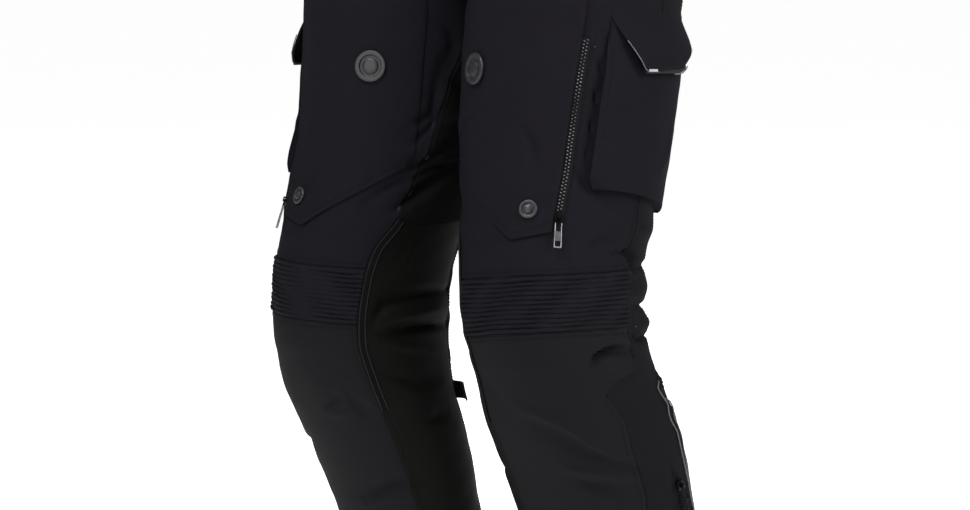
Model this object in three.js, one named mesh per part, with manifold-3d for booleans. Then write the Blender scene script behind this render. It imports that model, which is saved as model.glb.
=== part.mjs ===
// Motorcycle trousers in textile, worn form, hollow, held at the waist.
// Millimetres, +Z up, front towards -Y, wearer's left towards +X, origin at the waist's centre.
import * as THREE from 'three';
import { mergeVertices } from 'three/addons/utils/BufferGeometryUtils.js';
import Module from 'manifold-3d';

const wasm = await Module();
wasm.setup();

// Driving dimensions
const clothWall = 2.0;
const bandWall = 3.0;
const seamGap = 0.3;
const overlayLift = 0.9;
const waistBandHeight = 40;
const crotchHeight = -270;
const hemHeight = -1070;
const riseCurve = 170;
const waistHalfWidth = 175;

// Rounded radii of the leg, for turning millimetres along the cloth into degrees
const seamRadius = 80;
const kneeRadius = 90;
const thighRadius = 108;
const foldScale = 1.75;
const foldTaper = { least: 0.35, from: 0.08, to: 0.92 };

// Half of the pelvis, from the waistband down to the crotch: outer half width, half depth, centre depth.
const pelvisRows = [
  { z: 0, width: waistHalfWidth, depth: 120, back: 0 },
  { z: -60, width: 181, depth: 123, back: 0 },
  { z: -130, width: 193, depth: 128, back: 1 },
  { z: -200, width: 202, depth: 127, back: 0 },
  { z: crotchHeight, width: 207, depth: 122, back: -3 },
];

// One leg below the crotch: centre to the side and back, half width, half depth, outward turn in degrees.
const legRows = [
  { z: crotchHeight, side: 104, back: -3, width: 103.2, depth: 122, turn: 0 },
  { z: -300, side: 103.5, back: -6, width: 102.5, depth: 120, turn: 0 },
  { z: -350, side: 103, back: -15, width: 101.5, depth: 117, turn: 0 },
  { z: -410, side: 103, back: -24, width: 100, depth: 113, turn: 1 },
  { z: -440, side: 105, back: -31, width: 98.5, depth: 110, turn: 2 },
  { z: -470, side: 107.5, back: -40, width: 95.5, depth: 108, turn: 3 },
  { z: -500, side: 112, back: -51, width: 93, depth: 106, turn: 4 },
  { z: -530, side: 116, back: -62, width: 90, depth: 103, turn: 5 },
  { z: -570, side: 120, back: -70, width: 90, depth: 97, turn: 6 },
  { z: -600, side: 122, back: -71, width: 90, depth: 96, turn: 8 },
  { z: -630, side: 126, back: -65, width: 89.5, depth: 95, turn: 9 },
  { z: -650, side: 129, back: -58, width: 92, depth: 91, turn: 10 },
  { z: -690, side: 132.5, back: -42, width: 98.5, depth: 84, turn: 12 },
  { z: -730, side: 132.5, back: -21, width: 99.5, depth: 79, turn: 12 },
  { z: -770, side: 132, back: -1, width: 97.5, depth: 74, turn: 12 },
  { z: -810, side: 131, back: 16, width: 94.5, depth: 68, turn: 12 },
  { z: -870, side: 129, back: 37, width: 90, depth: 66, turn: 12 },
  { z: -950, side: 127, back: 56, width: 86, depth: 65, turn: 12 },
  { z: hemHeight, side: 125, back: 70, width: 83, depth: 65, turn: 12 },
];

// Seams down the leg, as degrees round it from straight ahead, positive towards the outside.
const innerFrontSeam = [
  { z: crotchHeight, angle: -89.4 }, { z: -285, angle: -84 }, { z: -310, angle: -77 },
  { z: -350, angle: -68 }, { z: -410, angle: -59 }, { z: -470, angle: -53.5 },
  { z: -505, angle: -50.5 }, { z: -530, angle: -43 }, { z: -556, angle: -40 },
  { z: -600, angle: -37.5 }, { z: -690, angle: -38 }, { z: -810, angle: -37 },
  { z: hemHeight, angle: -36 },
];
const innerBackSeam = [
  { z: crotchHeight, angle: -90.6 }, { z: -285, angle: -96 }, { z: -310, angle: -102 },
  { z: -350, angle: -109 }, { z: -410, angle: -115 }, { z: -470, angle: -118 },
  { z: hemHeight, angle: -118 },
];
const sideSeam = [{ z: -waistBandHeight, angle: 92 }, { z: -200, angle: 91 }, { z: -650, angle: 90 }];
const shinSeam = [
  { z: -625, angle: 90 }, { z: -638, angle: 84 }, { z: -648, angle: 65 }, { z: -660, angle: 55 },
  { z: -690, angle: 60 }, { z: -720, angle: 57 }, { z: -770, angle: 58 }, { z: -810, angle: 54 },
  { z: hemHeight, angle: 52 },
];
const backSideSeam = [
  { z: -waistBandHeight, angle: 128 }, { z: -200, angle: 126 }, { z: -640, angle: 122 },
  { z: -660, angle: 104 }, { z: -720, angle: 102.5 }, { z: -770, angle: 103 },
  { z: -810, angle: 106 }, { z: hemHeight, angle: 112 },
];

// Heights where every panel has a ring of points, so that neighbours share them along a seam.
const ringHeights = [
  -40, -95, -150, -200, -240, -262, crotchHeight, -285, -310, -350, -390, -430, -470, -505, -530, -556,
  -578, -625, -638, -648, -660, -690, -720, -770, -810, -870, -930, -1000, hemHeight,
];

// Rib band over the knee
const ribCount = 12;
const ribHeight = 2.2;
const ribEdges = {
  left: { top: { inner: -552, outer: -540, arch: 5 }, bottom: { inner: -608, outer: -595, arch: 6 } },
  right: { top: { inner: -549, outer: -541, arch: 1 }, bottom: { inner: -606, outer: -598, arch: 1 } },
};
const kneeColumns = 10;

// Gathers behind the knee
const gatherPitch = 42;
const gatherDepth = 4.0;
const gatherZone = { top: -530, bottom: -700, from: 112, to: 236 };
const gatherPhase = -568;

// The largest folds: soft troughs (negative) and ridges between two places on a leg.
const largeFolds = [
  { leg: 1, fromAngle: -2, fromZ: -676, toAngle: 56, toZ: -723, width: 11, height: 3 },
  { leg: 1, fromAngle: 4, fromZ: -693, toAngle: 56, toZ: -741, width: 12, height: -5 },
  { leg: 1, fromAngle: 54, fromZ: -627, toAngle: 88, toZ: -617, width: 9, height: -5 },
  { leg: -1, fromAngle: 52, fromZ: -632, toAngle: 86, toZ: -620, width: 10, height: -5 },
  { leg: -1, fromAngle: -49, fromZ: -594, toAngle: -114, toZ: -578, width: 11, height: -5 },
  { leg: -1, fromAngle: -52, fromZ: -616, toAngle: -114, toZ: -618, width: 10, height: -4 },
  { leg: 1, fromAngle: -44, fromZ: -585, toAngle: -112, toZ: -566, width: 12, height: -4 },
  { leg: 1, fromAngle: -40, fromZ: -632, toAngle: -116, toZ: -612, width: 12, height: -4 },
  { leg: -1, fromAngle: -42, fromZ: -781, toAngle: 2, toZ: -806, width: 13, height: -4 },
  { leg: -1, fromAngle: -50, fromZ: -486, toAngle: -86, toZ: -446, width: 11, height: -5 },
  { leg: 1, fromAngle: -50, fromZ: -478, toAngle: -92, toZ: -442, width: 12, height: -4 },
];

// Thigh zip, hem zip, discs and buttons
const thighZip = {
  topAngle: 44, topZ: -311, bottomAngle: 37, bottomZ: -489, tapeWidth: 9, tapeWall: 1.0,
};
const hemZip = { topAngle: 87, topZ: -754, bottomAngle: 88, bottomZ: -1060, tapeWidth: 9, tapeWall: 1.0 };
const pullTab = { width: 8.4, length: 26, wall: 1.2, bar: 1.4, window: 5.2, windowWidth: 4.6, lowWindow: 5 };
const slider = { width: 8, length: 11, wall: 2.4, archWidth: 2.4, hole: 2.6, archWall: 1.0 };
const disc = { radius: 16.2, wall: 3.0, angle: -21, z: -343 };
const button = { radius: 9.3, wall: 3.4, angle: 20, z: -478 };

// Vent flap on the front of the thigh
const ventFlap = {
  top: -263, wall: 1.4, lift: 1.3, innerEdge: -49, innerLow: -443, cornerAngle: 10, cornerLow: -507,
  zipLow: -498,
};

// Cargo pocket and its flap
const pocket = {
  top: -310, bottom: -461, drop: 20, from: 55.5, to: 134, lean: -4, height: 7, wall: 3, rim: 1.2,
};
const pocketFlap = {
  top: -291, bottom: -345, wall: 2.5, stand: { left: 11, right: 17 }, topFrom: 57,
  lowFrom: { left: 75, right: 68 }, lowTo: 117, topTo: 136,
};

// Piping, strap and fly
const pipingWall = 1.2;
const innerPiping = { top: -500, bottom: -700, width: 8, lift: 1.5 };
const sidePiping = { top: -672, bottom: -1062, width: 7 };
const calfStrap = { z: -696, width: 20, wall: 2.0 };
const fly = { width: 38, start: 6, bottom: -192, bend: -150, wall: 1.6 };
const snap = { radius: 9, wall: 4 };

const colours = {
  cloth: 0x1d1c21, stretch: 0x212024, shin: 0x262628, grip: 0x161614, panel: 0x1b1b1d, web: 0x111112,
  reflective: 0x8d8f92, metal: 0x9b9b9d, rubber: 0x4b4d52, tape: 0x121213,
};

// Smooth value of a table's column at a height, through its rows.
function rowValue(rows, key, z) {
  let i = 0;
  while (i < rows.length - 2 && z < rows[i + 1].z) {
    i += 1;
  }
  const a = rows[i];
  const b = rows[i + 1];
  const before = rows[Math.max(i - 1, 0)];
  const after = rows[Math.min(i + 2, rows.length - 1)];
  const span = b.z - a.z;
  const f = THREE.MathUtils.clamp((z - a.z) / span, 0, 1);
  const straight = (b[key] - a[key]) / span;
  const slopeA = before === a ? straight : (b[key] - before[key]) / (b.z - before.z);
  const slopeB = after === b ? straight : (after[key] - a[key]) / (after.z - a.z);
  const f2 = f * f;
  const f3 = f2 * f;
  return (2 * f3 - 3 * f2 + 1) * a[key] + (f3 - 2 * f2 + f) * span * slopeA
    + (3 * f2 - 2 * f3) * b[key] + (f3 - f2) * span * slopeB;
}

// Straight-line value of a seam's angle at a height.
function seamAngle(rows, z) {
  let i = 0;
  while (i < rows.length - 2 && z < rows[i + 1].z) {
    i += 1;
  }
  const a = rows[i];
  const b = rows[i + 1];
  const f = THREE.MathUtils.clamp((z - a.z) / (b.z - a.z), 0, 1);
  return a.angle + (b.angle - a.angle) * f;
}

// The oval at a height: centre, half sizes and turn. Above the crotch the two ovals merge at the middle plane.
function oval(z) {
  if (z > crotchHeight) {
    const rise = THREE.MathUtils.clamp((z - crotchHeight) / riseCurve, 0, 1);
    const share = Math.sqrt(1 - (1 - rise) ** 2);
    const ratio = Math.sqrt(Math.max(1 - share * share, 0));
    const outer = rowValue(pelvisRows, 'width', z);
    return {
      side: outer * ratio / (1 + ratio),
      back: rowValue(pelvisRows, 'back', z),
      width: outer / (1 + ratio),
      depth: rowValue(pelvisRows, 'depth', z),
      turn: 0,
    };
  }
  return {
    side: rowValue(legRows, 'side', z),
    back: rowValue(legRows, 'back', z),
    width: rowValue(legRows, 'width', z),
    depth: rowValue(legRows, 'depth', z),
    turn: THREE.MathUtils.degToRad(rowValue(legRows, 'turn', z)),
  };
}

// A bare point of the cloth's outer face, without folds, on the wearer's left leg.
function barePoint(angle, z) {
  const o = oval(z);
  const local = THREE.MathUtils.degToRad(angle) - o.turn;
  const across = o.width * Math.sin(local);
  const ahead = o.depth * Math.cos(local);
  return new THREE.Vector3(
    o.side + across * Math.cos(o.turn) + ahead * Math.sin(o.turn),
    o.back - ahead * Math.cos(o.turn) + across * Math.sin(o.turn),
    z,
  );
}

function outwardNormal(angle, z) {
  const step = 0.5;
  const round = barePoint(angle + step, z).sub(barePoint(angle - step, z));
  const high = Math.min(z + step, 0);
  const down = barePoint(angle, high - 2 * step).sub(barePoint(angle, high));
  return down.cross(round).normalize();
}

// How far the cloth stands out or in at a place, from the gathers and the large folds.
function foldHeight(angle, z, leg) {
  let height = 0;
  const turned = angle < 0 ? angle + 360 : angle;
  if (turned > gatherZone.from && turned < gatherZone.to && z < gatherZone.top && z > gatherZone.bottom) {
    const round = Math.sin(Math.PI * (turned - gatherZone.from) / (gatherZone.to - gatherZone.from)) ** 0.6;
    const along = Math.sin(Math.PI * (gatherZone.top - z) / (gatherZone.top - gatherZone.bottom)) ** 0.6;
    const drift = leg * 4 * Math.sin(THREE.MathUtils.degToRad(turned * 2.2));
    height += gatherDepth * round * along * Math.cos(2 * Math.PI * (z - gatherPhase - drift) / gatherPitch);
  }
  for (const fold of largeFolds) {
    if (fold.leg === leg) {
      const wrapped = fold.toAngle < -90 && angle > 180 ? angle - 360 : angle;
      const dx = (fold.toAngle - fold.fromAngle) * foldScale;
      const dz = fold.toZ - fold.fromZ;
      const px = (wrapped - fold.fromAngle) * foldScale;
      const pz = z - fold.fromZ;
      const f = THREE.MathUtils.clamp((px * dx + pz * dz) / (dx * dx + dz * dz), 0, 1);
      const distance = Math.hypot(px - f * dx, pz - f * dz);
      const along = THREE.MathUtils.clamp(f, foldTaper.from, foldTaper.to);
      const taper = foldTaper.least + (1 - foldTaper.least) * Math.sin(Math.PI * along);
      height += fold.height * taper * Math.exp(-((distance / fold.width) ** 2));
    }
  }
  return height;
}

// A place on a leg's cloth, raised by a lift along its outward normal.
function clothPoint(angle, z, lift, leg) {
  const point = barePoint(angle, z);
  point.addScaledVector(outwardNormal(angle, z), lift + foldHeight(angle, z, leg));
  point.x *= leg;
  return point;
}

// A place on a seam's edge. Between two rings it lies on the straight line that joins them, for both neighbours.
function edgePoint(angleAt, z, shift, lift, leg) {
  const next = ringHeights.findIndex((ring) => ring <= z + 0.2);
  if (next < 1 || Math.abs(ringHeights[next] - z) < 0.2) {
    return clothPoint(angleAt(z) + shift, z, lift, leg);
  }
  const high = ringHeights[next - 1];
  const low = ringHeights[next];
  const above = clothPoint(angleAt(high) + shift, high, lift, leg);
  const below = clothPoint(angleAt(low) + shift, low, lift, leg);
  return above.lerp(below, (high - z) / (high - low));
}

// A closed body between an outer and an inner sheet of points, row by row.
function closedSheet(outer, inner) {
  const rows = outer.length;
  const columns = outer[0].length;
  const positions = [];
  for (const sheet of [outer, inner]) {
    for (const row of sheet) {
      for (const point of row) {
        positions.push(point.x, point.y, point.z);
      }
    }
  }
  const at = (layer, i, j) => layer * rows * columns + i * columns + j;
  const faces = [];
  for (let i = 0; i < rows - 1; i += 1) {
    for (let j = 0; j < columns - 1; j += 1) {
      faces.push(at(0, i, j), at(0, i + 1, j), at(0, i + 1, j + 1));
      faces.push(at(0, i, j), at(0, i + 1, j + 1), at(0, i, j + 1));
      faces.push(at(1, i, j), at(1, i + 1, j + 1), at(1, i + 1, j));
      faces.push(at(1, i, j), at(1, i, j + 1), at(1, i + 1, j + 1));
    }
  }
  const rim = [];
  for (let i = 0; i < rows - 1; i += 1) {
    rim.push([i, 0]);
  }
  for (let j = 0; j < columns - 1; j += 1) {
    rim.push([rows - 1, j]);
  }
  for (let i = rows - 1; i > 0; i -= 1) {
    rim.push([i, columns - 1]);
  }
  for (let j = columns - 1; j > 0; j -= 1) {
    rim.push([0, j]);
  }
  rim.forEach(([i, j], k) => {
    const [m, n] = rim[(k + 1) % rim.length];
    faces.push(at(0, m, n), at(0, i, j), at(1, i, j));
    faces.push(at(0, m, n), at(1, i, j), at(1, m, n));
  });
  return outwardGeometry(positions, faces);
}

// A geometry whose faces point out, whichever way round its points were given.
function outwardGeometry(positions, faces) {
  const corner = (index) => new THREE.Vector3().fromArray(positions, index * 3);
  let volume = 0;
  for (let i = 0; i < faces.length; i += 3) {
    volume += corner(faces[i]).dot(corner(faces[i + 1]).cross(corner(faces[i + 2])));
  }
  const ordered = volume < 0 ? faces.slice().reverse() : faces;
  const geometry = new THREE.BufferGeometry();
  geometry.setAttribute('position', new THREE.Float32BufferAttribute(positions, 3));
  geometry.setIndex(ordered);
  geometry.computeVertexNormals();
  return geometry;
}

// Two closed geometries joined into one body.
function joined(first, second) {
  const solids = [first, second].map((geometry) => {
    const bare = geometry.clone();
    bare.deleteAttribute('normal');
    bare.deleteAttribute('uv');
    const merged = mergeVertices(bare, 1e-4);
    return new wasm.Manifold(new wasm.Mesh({
      numProp: 3,
      vertProperties: new Float32Array(merged.attributes.position.array),
      triVerts: new Uint32Array(merged.index.array),
    }));
  });
  const mesh = solids[0].add(solids[1]).getMesh();
  return outwardGeometry([...mesh.vertProperties], [...mesh.triVerts]);
}

const group = new THREE.Group();

function addMesh(name, geometry, colour, roughness = 0.9, metalness = 0, frame = null) {
  const material = new THREE.MeshStandardMaterial({ color: colour, roughness, metalness });
  const mesh = new THREE.Mesh(geometry, material);
  mesh.name = name;
  if (frame) {
    mesh.applyMatrix4(frame);
  }
  group.add(mesh);
  return mesh;
}

// Heights of a panel's rows: its two ends, and the shared rings between them, split where they are far apart.
function rowHeights(top, bottom, step) {
  const inside = ringHeights.filter((z) => z < top - 6 && z > bottom + 6);
  const marks = [top, ...inside, bottom];
  const heights = [top];
  for (let i = 1; i < marks.length; i += 1) {
    const count = Math.max(Math.ceil((marks[i - 1] - marks[i]) / step - 0.01), 1);
    for (let k = 1; k <= count; k += 1) {
      heights.push(marks[i - 1] + (marks[i] - marks[i - 1]) * k / count);
    }
  }
  return heights;
}

// A cloth panel of one leg between two seams. Its top and bottom edges may slope from the inside to the outside.
function legPanel(leg, spec) {
  const topInner = spec.top.inner ?? spec.top;
  const topOuter = spec.top.outer ?? spec.top;
  const bottomInner = spec.bottom.inner ?? spec.bottom;
  const bottomOuter = spec.bottom.outer ?? spec.bottom;
  const topArch = spec.top.arch ?? 0;
  const bottomArch = spec.bottom.arch ?? 0;
  const top = (topInner + topOuter) / 2;
  const bottom = (bottomInner + bottomOuter) / 2;
  const heights = spec.rows ?? rowHeights(top, bottom, spec.step ?? 75);
  const outer = [];
  const inner = [];
  const half = seamGap / 2;
  heights.forEach((height, i) => {
    const last = heights.length - 1;
    const outerRow = [];
    const innerRow = [];
    for (let j = 0; j <= spec.columns; j += 1) {
      const across = j / spec.columns;
      let z = height;
      const bow = Math.sin(Math.PI * across);
      if (i === 0 || spec.sloped) {
        z += ((topOuter - topInner) * (across - 0.5) + topArch * bow) * (spec.sloped ? 1 - i / last : 1);
      }
      if (i === last || spec.sloped) {
        z += ((bottomOuter - bottomInner) * (across - 0.5) + bottomArch * bow) * (spec.sloped ? i / last : 1);
      }
      z = i === 0 ? z - half : z;
      z = i === last ? z + half : z;
      const gapAngle = THREE.MathUtils.radToDeg(half / seamRadius) * (spec.gap ?? 1);
      const from = spec.from(z) + gapAngle;
      const to = spec.to(z) - gapAngle;
      const angle = from + (to - from) * across;
      const raised = spec.relief ? spec.relief(i) : 0;
      if (j === 0 || j === spec.columns) {
        const edge = j === 0 ? spec.from : spec.to;
        const shift = j === 0 ? gapAngle : -gapAngle;
        outerRow.push(edgePoint(edge, z, shift, raised, leg));
        innerRow.push(edgePoint(edge, z, shift, -clothWall, leg));
      } else {
        outerRow.push(clothPoint(angle, z, raised, leg));
        innerRow.push(clothPoint(angle, z, -clothWall, leg));
      }
    }
    outer.push(outerRow);
    inner.push(innerRow);
  });
  return closedSheet(outer, inner);
}

// Where the middle plane cuts the oval, in front or behind.
function middleAngle(z) {
  if (z <= crotchHeight) {
    return null;
  }
  const o = oval(z);
  return THREE.MathUtils.radToDeg(Math.asin(THREE.MathUtils.clamp(-o.side / o.width, -1, 1)));
}

const frontEdge = (z) => middleAngle(z) ?? seamAngle(innerFrontSeam, z);
const backEdge = (z) => {
  const middle = middleAngle(z);
  return middle === null ? 360 + seamAngle(innerBackSeam, z) : 180 - middle;
};

// A ribbon on the cloth along a route of places, with its width across the route and its wall outwards.
function clothRibbon(leg, route, width, wall) {
  const outer = [];
  const inner = [];
  route.forEach((place, i) => {
    const before = route[Math.max(i - 1, 0)];
    const after = route[Math.min(i + 1, route.length - 1)];
    const lift = place.lift ?? overlayLift;
    const centre = clothPoint(place.angle, place.z, lift, leg);
    const along = clothPoint(after.angle, after.z, lift, leg).sub(clothPoint(before.angle, before.z, lift, leg));
    const normal = outwardNormal(place.angle, place.z);
    normal.x *= leg;
    const across = along.cross(normal).normalize();
    const edges = [-1, 0, 1].map((k) => centre.clone().addScaledVector(across, k * width / 2));
    const sag = width * width / 800;
    edges[0].addScaledVector(normal, -sag);
    edges[2].addScaledVector(normal, -sag);
    inner.push(edges);
    outer.push(edges.map((edge) => edge.clone().addScaledVector(normal, wall)));
  });
  return closedSheet(outer, inner);
}

// A frame standing on the cloth: x along the hinge line, y up the zip, z outwards.
function standFrame(leg, angle, z, lift, upAngle, upZ) {
  const place = clothPoint(angle, z, lift, leg);
  const normal = outwardNormal(angle, z);
  normal.x *= leg;
  const up = clothPoint(upAngle, upZ, lift, leg).sub(place);
  const across = new THREE.Vector3().crossVectors(up, normal).normalize();
  const upright = new THREE.Vector3().crossVectors(normal, across).normalize();
  return new THREE.Matrix4().makeBasis(across, upright, normal).setPosition(place);
}

// A slider seen from its side: a flat body with an arch over it, drilled across for the pull tab's bar.
function sliderGeometry() {
  const half = slider.length / 2;
  const axis = slider.wall + 0.2 + slider.hole / 2;
  const reach = slider.hole / 2 + slider.archWall;
  const side = new THREE.Shape();
  side.moveTo(-reach - 0.6, slider.wall - 0.6);
  side.lineTo(reach + 0.6, slider.wall - 0.6);
  side.lineTo(reach, axis);
  side.lineTo(reach * 0.6, axis + reach);
  side.lineTo(-reach * 0.6, axis + reach);
  side.lineTo(-reach, axis);
  side.closePath();
  const hole = new THREE.Path();
  hole.absarc(0, axis, slider.hole / 2, 0, 2 * Math.PI, true);
  side.holes.push(hole);
  const arch = new THREE.ExtrudeGeometry(side, { depth: slider.archWidth, bevelEnabled: false, curveSegments: 5 });
  arch.translate(0, 0, -slider.archWidth / 2);
  const body = new THREE.Shape();
  body.moveTo(-half, 0);
  body.lineTo(half, 0);
  body.lineTo(half, slider.wall * 0.6);
  body.lineTo(half - 1.2, slider.wall);
  body.lineTo(-half + 1.2, slider.wall);
  body.lineTo(-half, slider.wall * 0.6);
  body.closePath();
  const plate = new THREE.ExtrudeGeometry(body, { depth: slider.width, bevelEnabled: false });
  plate.translate(0, 0, -slider.width / 2);
  const turn = new THREE.Matrix4().makeBasis(
    new THREE.Vector3(0, 1, 0), new THREE.Vector3(0, 0, 1), new THREE.Vector3(1, 0, 0));
  return joined(plate.applyMatrix4(turn), arch.applyMatrix4(turn));
}

const axisHeight = slider.wall + 0.2 + slider.hole / 2;

// A pull tab hanging from the arch: a plate with the window that the arch passes through, and a lower window.
function pullGeometry() {
  const half = pullTab.width / 2;
  const top = pullTab.bar / 2;
  const low = top - pullTab.length;
  const plate = new THREE.Shape();
  plate.moveTo(-half + 1.2, top);
  plate.lineTo(-half, top - 1.2);
  plate.lineTo(-half, low + 1.2);
  plate.lineTo(-half + 1.2, low);
  plate.lineTo(half - 1.2, low);
  plate.lineTo(half, low + 1.2);
  plate.lineTo(half, top - 1.2);
  plate.lineTo(half - 1.2, top);
  plate.closePath();
  const windowHalf = pullTab.windowWidth / 2;
  for (const edge of [-pullTab.bar / 2, low + 1.6 + pullTab.lowWindow]) {
    const depth = edge < -5 ? pullTab.lowWindow : pullTab.window;
    const cut = new THREE.Path();
    cut.moveTo(-windowHalf, edge);
    cut.lineTo(windowHalf, edge);
    cut.lineTo(windowHalf, edge - depth);
    cut.lineTo(-windowHalf, edge - depth);
    cut.closePath();
    plate.holes.push(cut);
  }
  const geometry = new THREE.ExtrudeGeometry(plate, { depth: pullTab.wall, bevelEnabled: false });
  geometry.translate(0, 0, axisHeight - pullTab.wall / 2);
  return geometry;
}

// A round piece turned about its own axis, with its back flat on the cloth.
function roundPiece(profile, segments = 28) {
  const points = profile.map(([radius, height]) => new THREE.Vector2(radius, height));
  const geometry = new THREE.LatheGeometry(points, segments);
  return geometry.applyMatrix4(new THREE.Matrix4().makeRotationX(Math.PI / 2));
}

const discProfile = [
  [0, 0], [disc.radius, 0], [disc.radius, disc.wall - 0.6], [disc.radius - 1, disc.wall], [11, disc.wall],
  [10.2, disc.wall - 1.3], [8.2, disc.wall - 1.3], [7.6, disc.wall], [0, disc.wall],
];
const buttonProfile = [
  [0, 0], [button.radius, 0], [button.radius, 2.0], [button.radius - 0.7, 2.6], [6.4, 2.6], [5.8, 1.4], [4.8, 1.4],
  [4.4, button.wall], [0, button.wall],
];
const snapProfile = [[0, 0], [snap.radius, 0], [snap.radius, 2.4], [snap.radius - 2, snap.wall], [0, snap.wall]];

// Straight route between two places, with even steps.
function routeBetween(from, to, steps) {
  return Array.from({ length: steps + 1 }, (_, k) => ({
    angle: from.angle + (to.angle - from.angle) * k / steps,
    z: from.z + (to.z - from.z) * k / steps,
  }));
}

// The cargo pocket: a raised sheet, open at the top, whose front, back and lower edges step down to the cloth.
function pocketBody(leg) {
  const edge = THREE.MathUtils.radToDeg(pocket.rim / thighRadius);
  const rimAngles = [pocket.from, pocket.from + edge, pocket.from + 3 * edge];
  const farAngles = [pocket.to - 3 * edge, pocket.to - edge, pocket.to];
  const middle = Array.from({ length: 5 }, (_, k) => (
    rimAngles[2] + (farAngles[0] - rimAngles[2]) * (k + 1) / 6));
  const angles = [...rimAngles, ...middle, ...farAngles];
  const heights = [
    pocket.top, -350, -390, -430, pocket.bottom + 3 * pocket.rim, pocket.bottom + pocket.rim, pocket.bottom,
  ];
  const outer = [];
  const inner = [];
  heights.forEach((height, i) => {
    const outerRow = [];
    const innerRow = [];
    angles.forEach((angle, j) => {
      const across = (angle - pocket.from) / (pocket.to - pocket.from);
      const lean = pocket.lean * (height - pocket.top) / (pocket.bottom - pocket.top) * (1 - across);
      const low = (height - pocket.top) / (pocket.bottom - pocket.top);
      const z = height - pocket.drop * Math.max(across - 0.25, 0) * low;
      const ring = Math.min(j, angles.length - 1 - j, heights.length - 1 - i);
      const top = overlayLift + (ring === 0 ? pocket.wall - 0.5 : pocket.height);
      const under = ring < 2 ? overlayLift : overlayLift + pocket.height - pocket.wall;
      outerRow.push(clothPoint(angle + lean, z, top, leg));
      innerRow.push(clothPoint(angle + lean, z, under, leg));
    });
    outer.push(outerRow);
    inner.push(innerRow);
  });
  return closedSheet(outer, inner);
}

// How far the flap's inner face stands off the cloth, from its sewn top down to its free edge.
function flapSteps(leg) {
  const stand = leg > 0 ? pocketFlap.stand.left : pocketFlap.stand.right;
  return [
    { down: 0, lift: overlayLift }, { down: 0.18, lift: 4.5 }, { down: 0.36, lift: pocket.height + 2.0 },
    { down: 0.7, lift: stand - 1.5 }, { down: 1, lift: stand },
  ];
}

function flapLimits(leg, down) {
  const lowFrom = leg > 0 ? pocketFlap.lowFrom.left : pocketFlap.lowFrom.right;
  return {
    from: pocketFlap.topFrom + (lowFrom - pocketFlap.topFrom) * down,
    to: pocketFlap.topTo + (pocketFlap.lowTo - pocketFlap.topTo) * down,
    z: pocketFlap.top + (pocketFlap.bottom - pocketFlap.top) * down,
  };
}

function flapBody(leg) {
  const columns = 9;
  const sheet = (extra) => flapSteps(leg).map((step) => Array.from({ length: columns + 1 }, (_, j) => {
    const limits = flapLimits(leg, step.down);
    return clothPoint(limits.from + (limits.to - limits.from) * j / columns, limits.z, step.lift + extra, leg);
  }));
  return closedSheet(sheet(pocketFlap.wall), sheet(0));
}

// The reflective edge runs down the flap's front side, along its bottom and up behind, just outside the flap.
function flapPiping(leg) {
  const out = 0.9;
  const places = [];
  const stand = flapLiftAt(leg, 1);
  for (const down of [0.42, 0.7, 1]) {
    const limits = flapLimits(leg, down);
    places.push({ angle: limits.from - out, z: limits.z - 1.2, lift: flapLiftAt(leg, down) });
  }
  const low = flapLimits(leg, 1);
  for (let k = 1; k < 6; k += 1) {
    places.push({
      angle: low.from + (low.to - low.from) * k / 6, z: low.z - 1.8, lift: stand,
    });
  }
  for (const down of [1, 0.7, 0.42]) {
    const limits = flapLimits(leg, down);
    places.push({ angle: limits.to + out, z: limits.z - 1.2, lift: flapLiftAt(leg, down) });
  }
  return clothRibbon(leg, places, 2.2, 2.2);
}

function flapLiftAt(leg, down) {
  const steps = flapSteps(leg);
  const next = steps.findIndex((step) => step.down >= down - 1e-6);
  const a = steps[next - 1];
  const b = steps[next];
  return a.lift + (b.lift - a.lift) * (down - a.down) / (b.down - a.down);
}

const zipAngle = (z) => thighZip.topAngle + (thighZip.bottomAngle - thighZip.topAngle)
  * (z - thighZip.topZ) / (thighZip.bottomZ - thighZip.topZ);

// The lower edge of the vent flap: from the inner end down to the corner, then across to the zip.
function ventLow(angle) {
  if (angle < ventFlap.cornerAngle) {
    const f = (angle - ventFlap.innerEdge) / (ventFlap.cornerAngle - ventFlap.innerEdge);
    return ventFlap.innerLow + (ventFlap.cornerLow - ventFlap.innerLow) * f;
  }
  const f = (angle - ventFlap.cornerAngle) / (zipAngle(ventFlap.zipLow) - ventFlap.cornerAngle);
  return ventFlap.cornerLow + (ventFlap.zipLow - ventFlap.cornerLow) * f;
}

function ventBody(leg) {
  const columns = 9;
  const rows = 7;
  const edgeGap = 3.2;
  const place = (i, j, lift) => {
    const lowTo = zipAngle(ventFlap.zipLow) - edgeGap;
    const lowAngle = ventFlap.innerEdge + (lowTo - ventFlap.innerEdge) * j / columns;
    const low = ventLow(lowAngle);
    const z = ventFlap.top + (low - ventFlap.top) * i / rows;
    const to = zipAngle(Math.min(z, thighZip.topZ + 40)) - edgeGap;
    return clothPoint(ventFlap.innerEdge + (to - ventFlap.innerEdge) * j / columns, z, lift, leg);
  };
  const row = (i, lift) => Array.from({ length: columns + 1 }, (_, j) => place(i, j, lift));
  const sheet = (lift) => Array.from({ length: rows + 1 }, (_, i) => row(i, lift));
  return closedSheet(sheet(ventFlap.lift + ventFlap.wall), sheet(ventFlap.lift));
}

function ribRows(edges) {
  const rows = [(edges.top.inner + edges.top.outer) / 2];
  const span = (edges.bottom.inner + edges.bottom.outer) / 2 - rows[0];
  for (let k = 0; k < ribCount; k += 1) {
    rows.push(rows[0] + span * (k + 0.5) / ribCount);
    rows.push(rows[0] + span * (k + 1) / ribCount);
  }
  return rows;
}

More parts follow.
